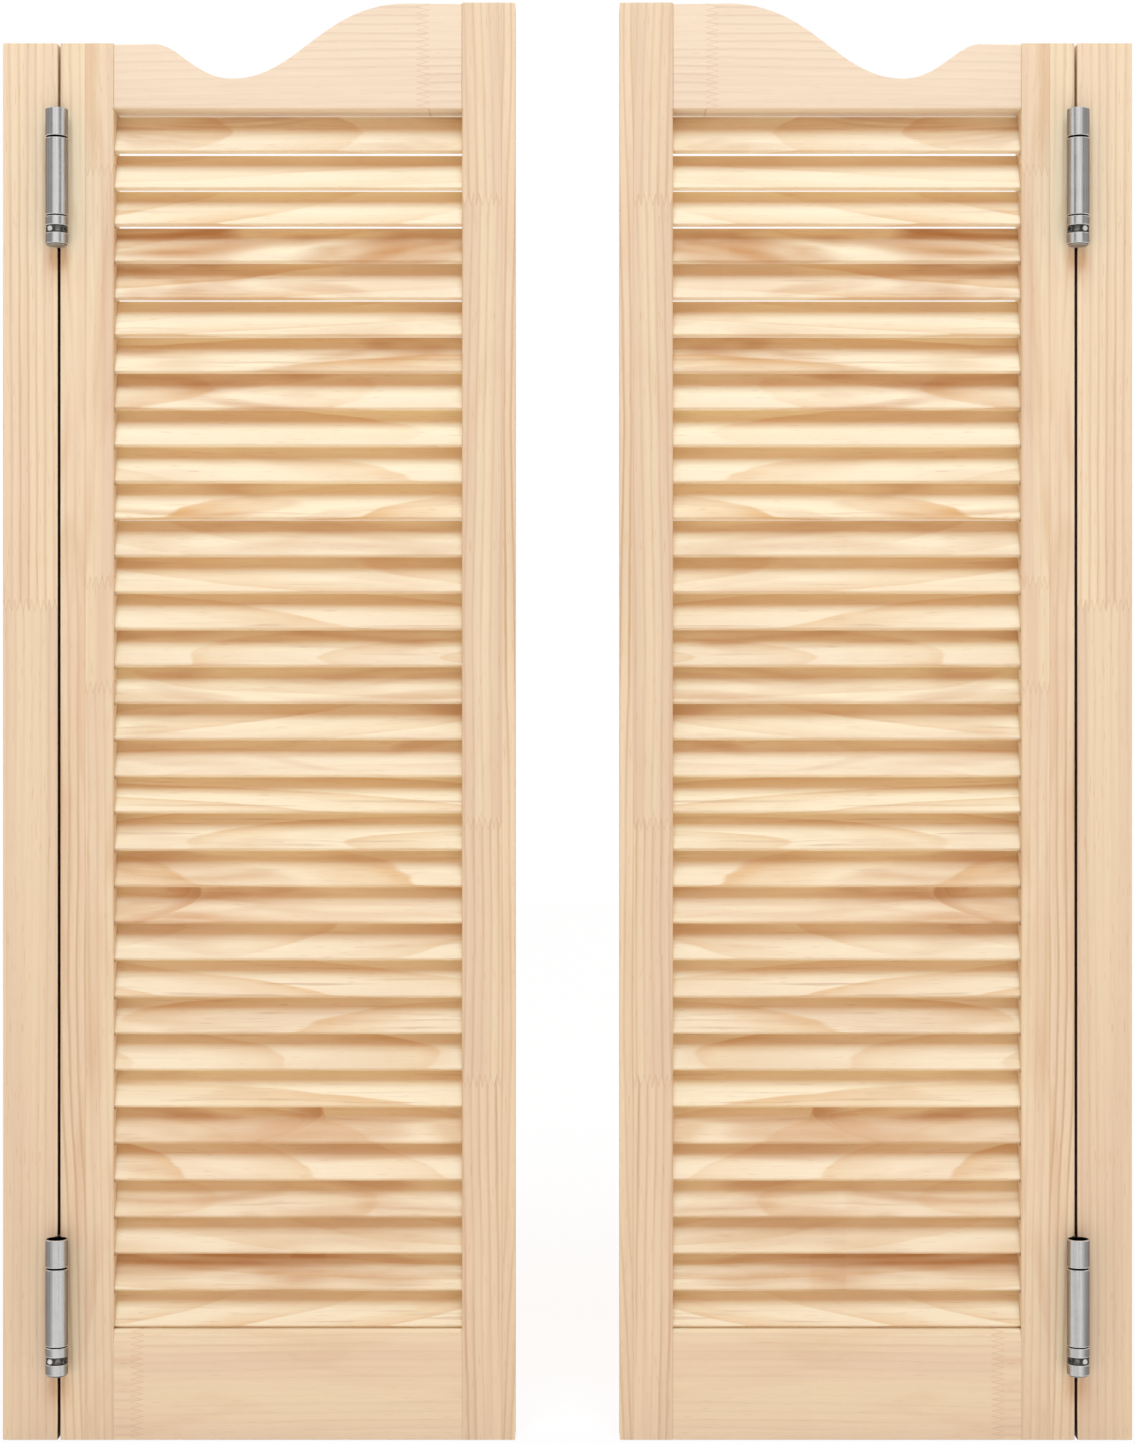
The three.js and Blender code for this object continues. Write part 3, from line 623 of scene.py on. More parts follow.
def dress(mesh, origin, axes, seed, heart, joints=(), seam=FAR_AWAY, painted_shade_across=FAR_AWAY,
          slat=0.0, lines=1.0, flame=0.0, branch=(FAR_AWAY, FAR_AWAY), pale=0.0):
    """Writes where each point of a board lies in the log it was sawn from, how it is marked, and from where across
    it the swing gap's painted shade falls.
    """
    fixed = {
        "cut": (seed, seam, painted_shade_across),
        "heart": heart,
        "joints": (*joints, FAR_AWAY, FAR_AWAY, FAR_AWAY)[:3],
        "figure": (slat, lines, flame),
        "branch": (*branch, pale),
    }
    for name, value in fixed.items():
        layer = mesh.attributes.new(name, "FLOAT_VECTOR", "POINT")
        layer.data.foreach_set("vector", value * len(mesh.vertices))
    layer = mesh.attributes.new("grain", "FLOAT_VECTOR", "POINT")
    for vertex, entry in zip(mesh.vertices, layer.data):
        offset = vertex.co - origin
        entry.vector = [offset.dot(axis) for axis in axes]


def mirrored(mesh):
    mesh.transform(Matrix.Scale(-1, 4, (1, 0, 0)))
    mesh.flip_normals()


UPRIGHT = (Vector((0, 0, 1)), Vector((1, 0, 0)), Vector((0, 1, 0)))
UPRIGHT_REVERSED = (Vector((0, 0, 1)), Vector((-1, 0, 0)), Vector((0, 1, 0)))
LEVEL = (Vector((1, 0, 0)), Vector((0, 0, 1)), Vector((0, 1, 0)))


def leaf_seats(edge_x, inward, open_face):
    """Cutters for the shallow seats of both hinge leaves in a board's edge."""
    depth = LEAF_THICKNESS + LEAF_SEAT_GAP
    open_y = open_face * (BACK_Y + OVERCUT)
    closed_y = -open_face * (BACK_Y - LEAF_EDGE_INSET + LEAF_SEAT_GAP)
    xs = sorted((edge_x + inward * depth, edge_x - inward * OVERCUT))
    ys = sorted((open_y, closed_y))
    seats = []
    for base in HINGE_BASES.values():
        low = (xs[0], ys[0], base - LEAF_SEAT_GAP)
        high = (xs[1], ys[1], base + HINGE_HEIGHT + LEAF_SEAT_GAP)
        seats.append(block(low, high))
    return seats


def slat_axes(tilt):
    """A slat's width and thickness directions; its front edge is low."""
    width = Vector((0, math.cos(tilt), math.sin(tilt)))
    return width, Vector((0, -math.sin(tilt), math.cos(tilt)))


def slat_outline(centre, tilt, fit=0.0, notch=0.0, rise=0.0):
    """A slat's rounded section; a notch lengthens its low front edge, a rise its high rear edge."""
    width, through = slat_axes(tilt)
    half_width = SLAT_WIDTH / 2 + fit
    half_depth = SLAT_THICKNESS / 2 + fit
    radius = SLAT_EDGE_RADIUS
    outline = []
    for quarter, (sign_w, sign_t) in enumerate(((1, 1), (-1, 1), (-1, -1), (1, -1))):
        extra = notch if sign_w < 0 else rise
        for step in range(SLAT_CORNER_STEPS + 1):
            turn = (quarter + step / SLAT_CORNER_STEPS) * math.pi / 2
            w = sign_w * (half_width + extra - radius) + radius * math.cos(turn)
            t = sign_t * (half_depth - radius) + radius * math.sin(turn)
            outline.append(centre + width * w + through * t)
    return outline


def slat_places():
    """Height, tilt and extra rise of every slat, from the lowest up."""
    scatter = random.Random(33)
    points = slat_outline(Vector(), SLAT_TILT)
    half_rise = max(point.z for point in points)
    lowest = BASE_RAIL_TOP_Z + SLAT_BOTTOM_CLEARANCE + half_rise
    highest = RAIL_UNDERSIDE_Z - SLAT_TOP_CLEARANCE - half_rise
    pitch = (highest - lowest) / (SLAT_COUNT - 1)
    places = []
    for index in range(SLAT_COUNT):
        tilt = SLAT_TILT + scatter.uniform(-1, 1) * SLAT_TILT_SCATTER
        shift = scatter.uniform(-1, 1) * SLAT_SHIFT_SCATTER
        height = lowest + index * pitch + shift
        rise = SLAT_EXTRA.get(index, 0.0)
        places.append((height, tilt, rise))
    return places


def make_strip(side, open_face):
    mesh = mesh_from("strip", block(STRIP[0], STRIP[1], EASED_EDGE))
    cutter = joined("strip_seats", leaf_seats(STRIP[1].x, -1, open_face))
    mesh = carve(mesh, mesh_from("strip_cutter", cutter))
    # The strip's edge face in the swing gap takes painted shade
    dress(mesh, STRIP[0], UPRIGHT, 11.0, STRIP_HEART, STRIP_JOINTS, painted_shade_across=STRIP[1].x - STRIP[0].x)
    return finish_board(mesh, side, "jamb_strip")


def panel_rounds(edge_x, inward):
    """Cutters that round a stile's edges towards the louvre, front and back, between the rails."""
    cutters = []
    for face_y, face in ((FRONT_Y, FRONT), (BACK_Y, REAR)):
        centre = Vector((edge_x + inward * PANEL_ROUND, face_y - face * PANEL_ROUND, BASE_RAIL_TOP_Z))
        outside_x = edge_x - inward * OVERCUT
        outside_y = face_y + face * OVERCUT
        outline = [
            Vector((outside_x, centre.y, centre.z)),
            Vector((outside_x, outside_y, centre.z)),
            Vector((centre.x, outside_y, centre.z)),
        ]
        for step in range(ROUND_STEPS + 1):
            turn = step / ROUND_STEPS * math.pi / 2
            across = -inward * math.sin(turn)
            outline.append(centre + PANEL_ROUND * Vector((across, face * math.cos(turn), 0)))
        cutters.append(prism(outline, Vector((0, 0, RAIL_UNDERSIDE_Z - BASE_RAIL_TOP_Z))))
    return cutters


def make_hinge_stile(side, open_face):
    mesh = mesh_from("hinge_stile", block(HINGE_STILE[0], HINGE_STILE[1], EASED_EDGE))
    start = PANEL_X - SLAT_SEAT - SLAT_FIT
    housings = [
        prism(slat_outline(Vector((start, 0, height)), tilt, SLAT_FIT, SLAT_NOTCH, rise),
              Vector((SLAT_SEAT + SLAT_FIT + OVERCUT, 0, 0)))
        for height, tilt, rise in slat_places()
    ]
    cutter = joined("stile_seats", leaf_seats(HINGE_STILE[0].x, 1, open_face) + housings)
    mesh = carve(mesh, mesh_from("stile_cutter", cutter))
    mesh = carve(mesh, mesh_from("stile_rounds", joined("rounds", panel_rounds(PANEL_X, -1))))
    origin = Vector((PANEL_X, HINGE_STILE[0].y, 0))
    dress(mesh, origin, UPRIGHT_REVERSED, 23.0, HINGE_STILE_HEART, HINGE_STILE_JOINTS,
          HINGE_STILE_SEAM, lines=0.45, flame=0.3)
    return finish_board(mesh, side, "hinge_stile")


def make_meeting_stile(side):
    low = Vector((PANEL_END_X, FRONT_Y, 0))
    high = Vector((MEETING_EDGE_X, BACK_Y, CREST_Z))
    mesh = mesh_from("meeting_stile", block(low, high, EASED_EDGE))
    mesh = carve(mesh, mesh_from("stile_rounds", joined("rounds", panel_rounds(PANEL_END_X, 1))))
    dress(mesh, low, UPRIGHT, 37.0, MEETING_STILE_HEART, MEETING_STILE_JOINTS,
          MEETING_STILE_SEAM, lines=1.25, flame=0.1)
    return finish_board(mesh, side, "meeting_stile")


def curve(start, start_pull, end_pull, end):
    """Points along a curve from start to just before end."""
    points = []
    for step in range(SCALLOP_STEPS):
        t = step / SCALLOP_STEPS
        s = 1 - t
        points.append(start * s ** 3 + start_pull * 3 * s * s * t
                      + end_pull * 3 * s * t * t + end * t ** 3)
    return points


def make_top_rail(side):
    shoulder_x = PANEL_X + SHOULDER_FLAT
    valley_x = shoulder_x + VALLEY_RUN
    crest_x = PANEL_END_X - CREST_FLAT
    rise = crest_x - valley_x
    shoulder = Vector((shoulder_x, FRONT_Y, RAIL_SHOULDER_Z))
    valley = Vector((valley_x, FRONT_Y, VALLEY_Z))
    crest = Vector((crest_x, FRONT_Y, RAIL_CREST_Z))
    level = Vector((1, 0, 0))
    outline = [
        Vector((PANEL_X, FRONT_Y, RAIL_UNDERSIDE_Z)),
        Vector((PANEL_END_X, FRONT_Y, RAIL_UNDERSIDE_Z)),
        Vector((PANEL_END_X, FRONT_Y, RAIL_CREST_Z)),
        *curve(crest, crest - level * CREST_EASE * rise, valley + level * VALLEY_HIGH_EASE * rise, valley),
        *curve(valley, valley - level * VALLEY_LOW_EASE * VALLEY_RUN,
               shoulder + level * SHOULDER_EASE * VALLEY_RUN, shoulder),
        shoulder,
        Vector((PANEL_X, FRONT_Y, RAIL_SHOULDER_Z)),
    ]
    form = prism(outline, Vector((0, BACK_Y - FRONT_Y, 0)))
    rims = [edge for edge in form.edges if edge.verts[0].co.y == edge.verts[1].co.y]
    bmesh.ops.bevel(form, geom=rims, offset=RAIL_EASE, segments=EASE_STEPS, profile=0.5, affect="EDGES")
    mesh = mesh_from("top_rail", form)
    dress(mesh, Vector((PANEL_X, FRONT_Y, RAIL_UNDERSIDE_Z)), LEVEL, 41.0, RAIL_HEART, TOP_RAIL_JOINTS, lines=1.3, pale=0.4)
    return finish_board(mesh, side, "top_rail")


def make_bottom_rail(side):
    low = Vector((PANEL_X, FRONT_Y, 0))
    bevelled_front, bevelled_back = FRONT_Y + RAIL_BEVEL_DEPTH, BACK_Y - RAIL_BEVEL_DEPTH
    corners = ((bevelled_back, BASE_RAIL_TOP_Z, RAIL_ROUND), (bevelled_front, BASE_RAIL_TOP_Z, RAIL_ROUND),
               (FRONT_Y, 0, RAIL_EASE), (BACK_Y, 0, RAIL_EASE))
    bevel_foot = BASE_RAIL_TOP_Z - RAIL_BEVEL_HEIGHT
    outline = [Vector((PANEL_X, BACK_Y, bevel_foot - RAIL_BEVEL_HOLD)), Vector((PANEL_X, BACK_Y, bevel_foot))]
    for quarter, (y, z, radius) in enumerate(corners):
        inward_y = -math.copysign(radius, y)
        inward_z = -radius if z else radius
        for step in range(ROUND_STEPS + 1):
            turn = (quarter + step / ROUND_STEPS) * math.pi / 2
            point = Vector((PANEL_X, y + inward_y, z + inward_z))
            outline.append(point + radius * Vector((0, math.cos(turn), math.sin(turn))))
        if quarter == 1:
            outline.append(Vector((PANEL_X, FRONT_Y, bevel_foot)))
            outline.append(Vector((PANEL_X, FRONT_Y, bevel_foot - RAIL_BEVEL_HOLD)))
    mesh = mesh_from("bottom_rail", prism(outline, Vector((PANEL_END_X - PANEL_X, 0, 0))))
    dress(mesh, low, LEVEL, 53.0, RAIL_HEART, BOTTOM_RAIL_JOINTS, lines=0.4, flame=0.2)
    return finish_board(mesh, side, "bottom_rail")


def make_slats(side):
    start = PANEL_X - SLAT_SEAT
    extent = Vector((PANEL_END_X + SLAT_SEAT - start, 0, 0))
    luck = random.Random(66)
    for index, (height, tilt, rise) in enumerate(slat_places()):
        centre = Vector((start, 0, height))
        mesh = mesh_from("slat", prism(slat_outline(centre, tilt, rise=rise), extent))
        width, through = slat_axes(tilt)
        origin = centre - width * SLAT_WIDTH / 2
        flame = 0.95 * luck.random() ** 1.2
        lean = luck.choice((-1, 1)) * luck.uniform(0.02, 0.11)
        heart = (luck.uniform(-0.02, 0.05), luck.uniform(0.012, 0.05), lean)
        axes = (Vector((1, 0, 0)), width, through)
        branch_along, branch_across = BRANCH_SLATS.get(index, (FAR_AWAY, FAR_AWAY))
        branch = (branch_along, branch_across * SLAT_WIDTH)
        dress(mesh, origin, axes, 100.0 + 7.31 * index, heart, slat=1.0, flame=flame, branch=branch)
        finish_board(mesh, side, "meeting_stile", f"slat_{index + 1:02d}")


def finish_board(mesh, side, node, name=None):
    if side == "right":
        mirrored(mesh)
    return place_piece(f"{side}_{name or node}_board", mesh, f"{side}_{node}", "pine")


def make_woodwork(side, strip_face, stile_face):
    make_strip(side, strip_face)
    make_hinge_stile(side, stile_face)
    make_meeting_stile(side)
    make_top_rail(side)
    make_bottom_rail(side)
    make_slats(side)


def tube(base, top, outer):
    """A knuckle or barrel: a rolled tube with bright worn rims, painted shade on its bore and the end faces round
    it, and painted shade on its sides beside the wood.

    Outer is the sign of X on the jamb's side, where the painted shade reaches furthest round.
    """
    ease = RIM_CHAMFER
    # The bore and the end faces round it take painted shade (below nought); the chamfered rims are worn bright
    profile = [
        (BORE_RADIUS, base, -1.0),
        (BARREL_RADIUS - ease * 1.5, base, -1.0),
        (BARREL_RADIUS - ease, base, 0.4),
        (BARREL_RADIUS - ease * 0.3, base + ease * 0.3, 1.0),
        (BARREL_RADIUS, base + ease, 0.8),
        (BARREL_RADIUS, base + RIM_WEAR, 0.0),
        (BARREL_RADIUS, top - RIM_WEAR, 0.0),
        (BARREL_RADIUS, top - ease, 0.8),
        (BARREL_RADIUS - ease * 0.3, top - ease * 0.3, 1.0),
        (BARREL_RADIUS - ease, top, 0.4),
        (BARREL_RADIUS - ease * 1.5, top, -1.0),
        (BORE_RADIUS, top, -1.0),
    ]
    form = lathe(profile, BARREL_SIDES, closed=True)
    wear_and_light_layer = form.verts.layers.float["wear_and_painted_light"]
    # Painted shade: the plain outer face darkens towards the wood on both sides, from further forward on the jamb's
    # side
    for vertex in form.verts:
        if vertex[wear_and_light_layer] == 0:
            side = outer * vertex.co.x / BARREL_RADIUS
            inner_share = (-side - INNER_SHADE_FROM) / (1 - INNER_SHADE_FROM)
            outer_share = (side - OUTER_SHADE_FROM) / (OUTER_SHADE_FULL - OUTER_SHADE_FROM)
            vertex[wear_and_light_layer] = -SIDE_SHADE * min(1, max(0, inner_share, outer_share))
    return form


def knuckle_heights():
    return ((0, WINDOW_SILL), (WINDOW_TOP, LOWER_KNUCKLE_TOP), (UPPER_KNUCKLE_BASE, HINGE_HEIGHT))


def leaf_plate():
    """The leaf's plate with a tongue into each knuckle, eased all round."""
    inner_x = -SWING_GAP / 2
    outer_x = inner_x - LEAF_THICKNESS
    far_y = BACK_Y - LEAF_EDGE_INSET
    tongue_y = -BARREL_Y + BARREL_RADIUS - BARREL_WALL / 2
    outline = [Vector((outer_x, far_y, 0)), Vector((outer_x, far_y, HINGE_HEIGHT))]
    for base, top in reversed(knuckle_heights()):
        outline += [
            Vector((outer_x, FRONT_Y, top)),
            Vector((outer_x, tongue_y, top)),
            Vector((outer_x, tongue_y, base)),
            Vector((outer_x, FRONT_Y, base)),
        ]
    clean = [p for i, p in enumerate(outline) if (p - outline[i - 1]).length > LEAF_ROUND]
    form = prism(clean, Vector((LEAF_THICKNESS, 0, 0)))
    bmesh.ops.bevel(form, geom=form.edges[:], offset=LEAF_ROUND, segments=2, profile=0.5, affect="EDGES")
    return form


def screw_places():
    """Depth and height of each screw in a leaf, staggered in two columns."""
    pitch = (HINGE_HEIGHT - 2 * SCREW_ROW_INSET) / (SCREW_ROWS - 1)
    middle_y = -LEAF_EDGE_INSET / 2
    return [(middle_y + (SCREW_STAGGER if row % 2 else -SCREW_STAGGER), SCREW_ROW_INSET + row * pitch)
            for row in range(SCREW_ROWS)]


def facing_gap(form, y, z):
    """Turns a form made about Z to look along +X out of the leaf's face, at a screw's place."""
    turn = Matrix.Rotation(math.pi / 2, 4, "Y")
    matrix = Matrix.Translation((-SWING_GAP / 2, y, z)) @ turn
    bmesh.ops.transform(form, matrix=matrix, verts=form.verts[:])
    return form


def countersink(y, z):
    reach = LEAF_THICKNESS + OVERCUT
    slope = (COUNTERSINK_RADIUS - SCREW_HOLE_RADIUS) / LEAF_THICKNESS
    profile = [
        (0, -reach, 0),
        (SCREW_HOLE_RADIUS, -reach, 0),
        (SCREW_HOLE_RADIUS, -LEAF_THICKNESS, 0),
        (COUNTERSINK_RADIUS + slope * RUNNING_FIT, RUNNING_FIT, 0),
        (0, RUNNING_FIT, 0),
    ]
    return facing_gap(lathe(profile, SCREW_SIDES), y, z)


def make_leaf(prefix, name, half_turned, middle):
    node = f"{prefix}_{name}_leaf"
    outer = math.copysign(1, middle[0]) * (-1 if half_turned else 1)
    knuckles = [moved(tube(base, top, outer), (0, -BARREL_Y, 0)) for base, top in knuckle_heights()]
    plate = mesh_from("plate", leaf_plate())
    holes = joined("holes", [countersink(y, z) for y, z in screw_places()])
    plate = carve(plate, mesh_from("holes", holes))
    whole = joined("leaf", knuckles)
    whole.from_mesh(plate)
    place_hinge_piece(whole, half_turned, middle, node, "satin_steel", f"{node}_steel")
    screws = joined("screws", [screw(y, z, turn) for turn, (y, z) in enumerate(screw_places())])
    place_hinge_piece(screws, half_turned, middle, node, "satin_steel", f"{node}_screws", False)


def screw(y, z, turn):
    """A countersunk screw head with a cross recess, and the start of its shank."""
    top = -0.12 * MM
    rim = SCREW_HEAD_RADIUS
    slope = (COUNTERSINK_RADIUS - SCREW_HOLE_RADIUS) / LEAF_THICKNESS
    depth = (rim - SCREW_HOLE_RADIUS * 0.85) / slope
    profile = [
        (0, top - LEAF_THICKNESS, 0.0),
        (SCREW_HOLE_RADIUS * 0.8, top - LEAF_THICKNESS, 0.0),
        (SCREW_HOLE_RADIUS * 0.85, top - depth, 0.0),
        (rim, top - 0.15 * MM, 0.6),
        (rim - 0.15 * MM, top, 1.0),
        (rim * 0.6, top + 0.06 * MM, 0.3),
        (0, top + 0.09 * MM, 0.0),
    ]
    head = mesh_from("screw", lathe(profile, SCREW_SIDES))
    half = CROSS_LENGTH / 2
    width = CROSS_WIDTH / 2
    slots = [
        block((-half, -width, top - CROSS_DEPTH), (half, width, OVERCUT)),
        block((-width, -half, top - CROSS_DEPTH), (width, half, OVERCUT)),
    ]
    for slot in slots:
        head = carve(head, mesh_from("slot", slot))
    form = bmesh.new()
    form.from_mesh(head)
    moved(form, turn=0.5 + 0.8 * turn)
    return facing_gap(form, y, z)


def make_web(prefix, middle):
    half_web = SWING_GAP / 2 - WEB_CLEARANCE
    reach_y = BARREL_Y - BARREL_RADIUS + BARREL_WALL / 2
    plate = block((-half_web, -reach_y, MIDDLE_BASE), (half_web, reach_y, MIDDLE_TOP), LEAF_ROUND)
    outer = math.copysign(1, middle[0])
    barrels = [moved(tube(MIDDLE_BASE, MIDDLE_TOP, outer), (0, face * BARREL_Y, 0)) for face in (FRONT, REAR)]
    form = joined("web", [plate, *barrels])
    node = f"{prefix}_web"
    place_hinge_piece(form, False, middle, node, "satin_steel", f"{node}_steel")


def collar_form(turn):
    """The adjusting collar: a domed head, a holed band in the window and a journal above it."""
    head = BARREL_RADIUS - COLLAR_HEAD_INSET
    band = BARREL_RADIUS - COLLAR_BAND_INSET
    ease = RIM_CHAMFER / 2
    # The dome lightens towards its crown: a painted highlight
    dome = []
    for step in range(PIN_STEPS + 1):
        angle = step / PIN_STEPS * math.pi / 2
        height = -RUNNING_FIT - COLLAR_HEAD_HEIGHT * math.cos(angle)
        dome.append((head * math.sin(angle), height, 1.0 - 0.4 * step / PIN_STEPS))
    profile = [
        *dome,
        # Painted shade darkens the journal and, a little less, the band in the window
        (JOURNAL_RADIUS, -RUNNING_FIT, -1.0),
        (JOURNAL_RADIUS, WINDOW_SILL + RUNNING_FIT, -1.0),
        (band - ease, WINDOW_SILL + RUNNING_FIT, -0.5),
        (band, WINDOW_SILL + RUNNING_FIT + ease, -0.6),
        (band, WINDOW_TOP - RUNNING_FIT - ease, -0.6),
        (band - ease, WINDOW_TOP - RUNNING_FIT, -0.5),
        (JOURNAL_RADIUS, WINDOW_TOP - RUNNING_FIT, -1.0),
        (JOURNAL_RADIUS, COLLAR_TOP, -1.0),
        (0, COLLAR_TOP, 0.0),
    ]
    mesh = mesh_from("collar", lathe(profile, BARREL_SIDES))
    holes = []
    for index in range(COLLAR_HOLES):
        length = COLLAR_HOLE_DEPTH + OVERCUT
        hole = lathe([(0, 0, 1), (COLLAR_HOLE_RADIUS, 0, 0.6), (COLLAR_HOLE_RADIUS, length, 0),
                      (0, length, 0)], COLLAR_HOLE_SIDES)
        holes.append(radial(hole, band - COLLAR_HOLE_DEPTH, turn + index * 2 * math.pi / COLLAR_HOLES))
    mesh = carve(mesh, mesh_from("holes", joined("holes", holes)))
    form = bmesh.new()
    form.from_mesh(mesh)
    return form


def radial(form, start, turn):
    """Lays a form made up Z out along a radius that starts at the front, at the collar holes' height."""
    matrix = (Matrix.Translation((0, 0, COLLAR_HOLE_Z)) @ Matrix.Rotation(turn, 4, "Z")
              @ Matrix.Translation((0, -start, 0)) @ Matrix.Rotation(math.pi / 2, 4, "X"))
    bmesh.ops.transform(form, matrix=matrix, verts=form.verts[:])
    return form


def pin_form(turn):
    """The tension pin: a shank in the collar's hole and a ball for a head."""
    inner = BARREL_RADIUS - COLLAR_BAND_INSET - COLLAR_HOLE_DEPTH + RUNNING_FIT
    centre = BALL_CENTRE - inner
    neck = math.acos(PIN_RADIUS / BALL_RADIUS)
    profile = [(0, 0, 0.0), (PIN_RADIUS, 0, 0.0)]
    for step in range(PIN_STEPS + 1):
        angle = -neck + step / PIN_STEPS * (math.pi / 2 + neck)
        radius = BALL_RADIUS * math.cos(angle) if step < PIN_STEPS else 0
        profile.append((radius, centre + BALL_RADIUS * math.sin(angle), 1.0))
    return radial(lathe(profile, COLLAR_HOLE_SIDES), inner, turn)


def pivot_form():
    """The pivot in the top of a barrel, with an eased rim and a turning centre's dimple."""
    top = HINGE_HEIGHT - PIVOT_RECESS
    ease = RIM_CHAMFER
    # Painted shade darkens the pivot's side, rim and dimple, down in the bore
    profile = [
        (0, PIVOT_BASE, 0.0),
        (JOURNAL_RADIUS, PIVOT_BASE, -1.0),
        (JOURNAL_RADIUS, top - ease, -1.0),
        (JOURNAL_RADIUS - ease, top, -0.6),
        (PIVOT_DIMPLE, top, -0.8),
        (0, top - PIVOT_DIMPLE, -1.0),
    ]
    return lathe(profile, BARREL_SIDES)


def spring_form():
    """The torsion spring: a round wire with straight tangs."""
    base = COLLAR_TOP + RUNNING_FIT
    top = PIVOT_BASE - RUNNING_FIT
    rise = top - base - 4 * SPRING_WIRE_RADIUS
    steps = SPRING_CURLS * CURL_STEPS
    route = [(0.0, base)]
    for step in range(steps + 1):
        turn = 2 * math.pi * step / CURL_STEPS
        route.append((turn, base + 2 * SPRING_WIRE_RADIUS + rise * step / steps))
    route.append((route[-1][0], top))
    points = [Vector((SPRING_RADIUS * math.cos(a), SPRING_RADIUS * math.sin(a), z)) for a, z in route]
    form = bmesh.new()
    rings = []
    for index, point in enumerate(points):
        before = points[max(index - 1, 0)]
        after = points[min(index + 1, len(points) - 1)]
        tangent = (after - before).normalized()
        outward = Vector((point.x, point.y, 0)).normalized()
        sideways = tangent.cross(outward).normalized()
        ring = []
        for side in range(WIRE_SIDES):
            turn = 2 * math.pi * side / WIRE_SIDES
            offset = outward * math.cos(turn) + sideways * math.sin(turn)
            ring.append(form.verts.new(point + offset * SPRING_WIRE_RADIUS))
        rings.append(ring)
    for first, second in zip(rings, rings[1:]):
        for side in range(WIRE_SIDES):
            after = (side + 1) % WIRE_SIDES
            form.faces.new((first[side], first[after], second[after], second[side]))
    form.faces.new(reversed(rings[0]))
    form.faces.new(rings[-1])
    return form


def place_hinge_piece(form, half_turned, middle, node, slot, name, stands_in=True):
    """Puts a piece made about the hinge's own middle line in its place on the door."""
    moved(form, middle, math.pi if half_turned else 0.0)
    place_piece(name, mesh_from(name, form), node, slot, stands_in)


def make_fittings(prefix, face, middle, pin_turn):
    """What turns in and on one barrel; the rear set is the front one turned half round."""
    barrel = f"{prefix}_{'front' if face == FRONT else 'rear'}"
    half_turned = face == REAR
    place = (middle[0], middle[1] + face * BARREL_Y, middle[2])
    parts = (
        (pivot_form(), "pivot", "satin_steel"),
        (spring_form(), "spring", "spring_steel"),
        (collar_form(pin_turn), "collar", "dark_steel"),
        (pin_form(pin_turn), "tension_pin", "satin_steel"),
    )
    for form, name, slot in parts:
        node = f"{barrel}_{name}"
        place_hinge_piece(form, half_turned, place, node, slot, f"{node}_steel")


def make_hinge(side, place, front_leaf, rear_leaf, pin_turn):
    prefix = f"{side}_{place}_hinge"
    x = HINGE_X if side == "left" else -HINGE_X
    middle = (x, 0, HINGE_BASES[place])
    make_leaf(prefix, front_leaf, False, middle)
    make_leaf(prefix, rear_leaf, True, middle)
    make_web(prefix, middle)
    make_fittings(prefix, FRONT, middle, pin_turn)
    make_fittings(prefix, REAR, middle, pin_turn)


def make_floor():
    """A plain pale floor, which reads white to the camera and keeps a faint shadow."""
    material, graph = new_material("floor_white")
    rays = graph.add("ShaderNodeLightPath").outputs
    seen = graph.math("MAXIMUM", rays["Is Camera Ray"], rays["Is Glossy Ray"])
    seen = graph.math("MAXIMUM", seen, rays["Is Transmission Ray"])
    matt = graph.add("ShaderNodeBsdfDiffuse", {"Color": rgb(242, 242, 243)})
    glow = graph.add("ShaderNodeEmission", {"Color": (1, 1, 1, 1), "Strength": 1.0})
    place = graph.add("ShaderNodeTexCoord").outputs["Object"]
    away = graph.add("ShaderNodeVectorMath", {0: place}, operation="LENGTH").outputs["Value"]
    glow_share = graph.span(away, FLOOR_NEAR, FLOOR_FAR, FLOOR_GLOW_NEAR, FLOOR_GLOW_FAR)
    share = graph.math("MULTIPLY", seen, glow_share)
    mixed = graph.add("ShaderNodeMixShader", {0: share, 1: matt.outputs[0], 2: glow.outputs[0]})
    graph.finish(mixed.outputs[0])
    form = bmesh.new()
    bmesh.ops.create_grid(form, x_segments=8, y_segments=8, size=6)
    moved(form, (0, 0, -0.4 * MM))
    floor = new_object("floor", mesh_from("floor", form))
    floor.data.materials.append(material)


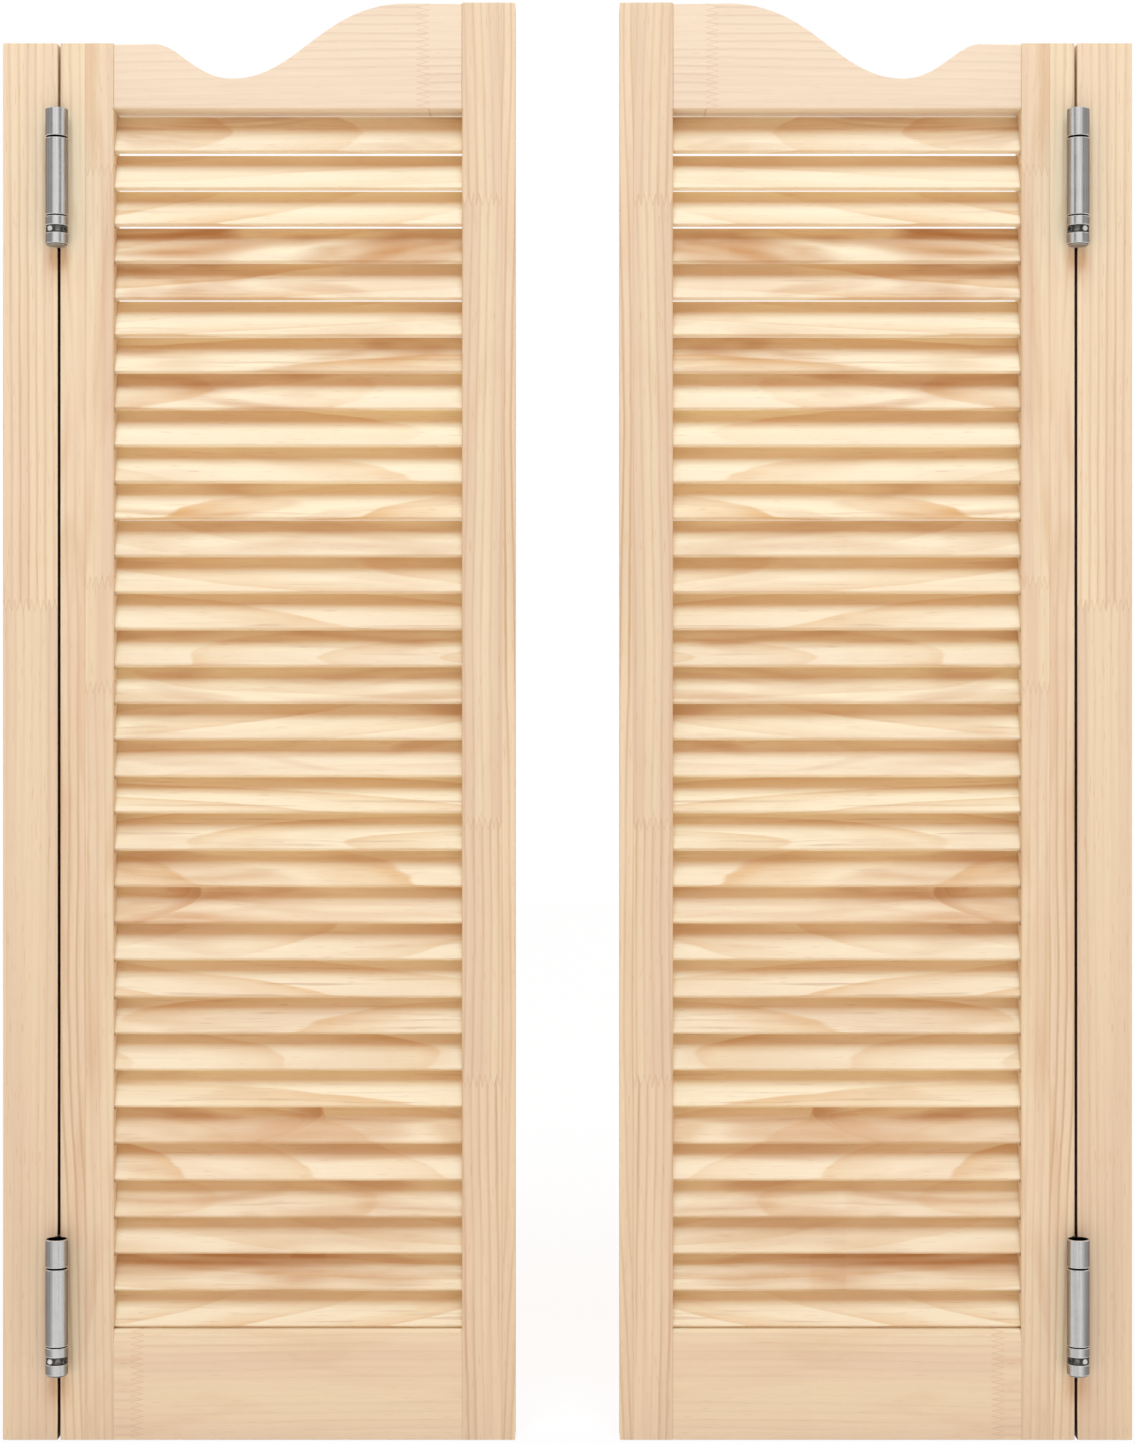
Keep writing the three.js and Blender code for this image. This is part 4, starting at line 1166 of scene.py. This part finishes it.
def make_world():
    """White to the camera; to light the object, a warm dim room in front and a bright one behind."""
    world = bpy.data.worlds.new("studio")
    world.use_nodes = True
    bpy.context.scene.world = world
    graph = Graph(world.node_tree)
    rays = graph.add("ShaderNodeLightPath").outputs
    direction = graph.add("ShaderNodeTexCoord").outputs["Generated"]
    aside, behind, above = graph.split(direction)
    behind = graph.span(behind, -0.35, 0.2)
    room = graph.blend(behind, FRONT_FILL, BACK_FILL)

    # Soft boxes left and right of the camera, as the steel sees them
    aside = graph.math("ABSOLUTE", aside)
    boxes = graph.ramp(aside, SOFT_BOXES)
    steel_sees = graph.math("MULTIPLY", graph.math("MAXIMUM", boxes, behind), BOX_LIGHT)
    mirror = graph.join(steel_sees, steel_sees, steel_sees)
    colour = graph.blend(rays["Is Glossy Ray"], room, mirror)
    seen = graph.math("MAXIMUM", rays["Is Camera Ray"], rays["Is Transmission Ray"])
    colour = graph.blend(seen, colour, (1, 1, 1, 1))
    background = graph.add("ShaderNodeBackground", {"Color": colour, "Strength": 1.0})
    output = graph.add("ShaderNodeOutputWorld")
    graph.tree.links.new(background.outputs[0], output.inputs["Surface"])


def make_light(name, position, size, power, colour):
    light = bpy.data.lights.new(name, "AREA")
    light.shape = "RECTANGLE"
    light.size, light.size_y = size
    light.energy = power
    light.color = colour
    lamp = bpy.data.objects.new(name, light)
    lamp.location = position
    lamp.rotation_euler = (AIM - Vector(position)).to_track_quat("-Z", "Y").to_euler()
    lamp.visible_glossy = False
    bpy.context.scene.collection.objects.link(lamp)


def make_camera():
    data = bpy.data.cameras.new("camera")
    data.sensor_fit = "VERTICAL"
    data.sensor_height = SENSOR_HEIGHT / MM
    data.lens = data.sensor_height * VIEW_DISTANCE / VIEW_HEIGHT
    camera = bpy.data.objects.new("camera", data)
    camera.location = (0, FRONT_Y - VIEW_DISTANCE, VIEW_CENTRE_Z)
    camera.rotation_euler = (math.pi / 2, 0, 0)
    bpy.context.scene.collection.objects.link(camera)
    bpy.context.scene.camera = camera


make_woodwork("left", FRONT, REAR)
make_woodwork("right", REAR, FRONT)
for hinge_place in HINGE_BASES:
    make_hinge("left", hinge_place, "jamb", "door", -PIN_ANGLE)
    make_hinge("right", hinge_place, "door", "jamb", PIN_ANGLE)
make_floor()
make_world()
make_light("key", KEY_PLACE, KEY_SIZE, KEY_POWER, KEY_COLOUR)
make_camera()
bpy.context.scene.view_settings.view_transform = "Standard"
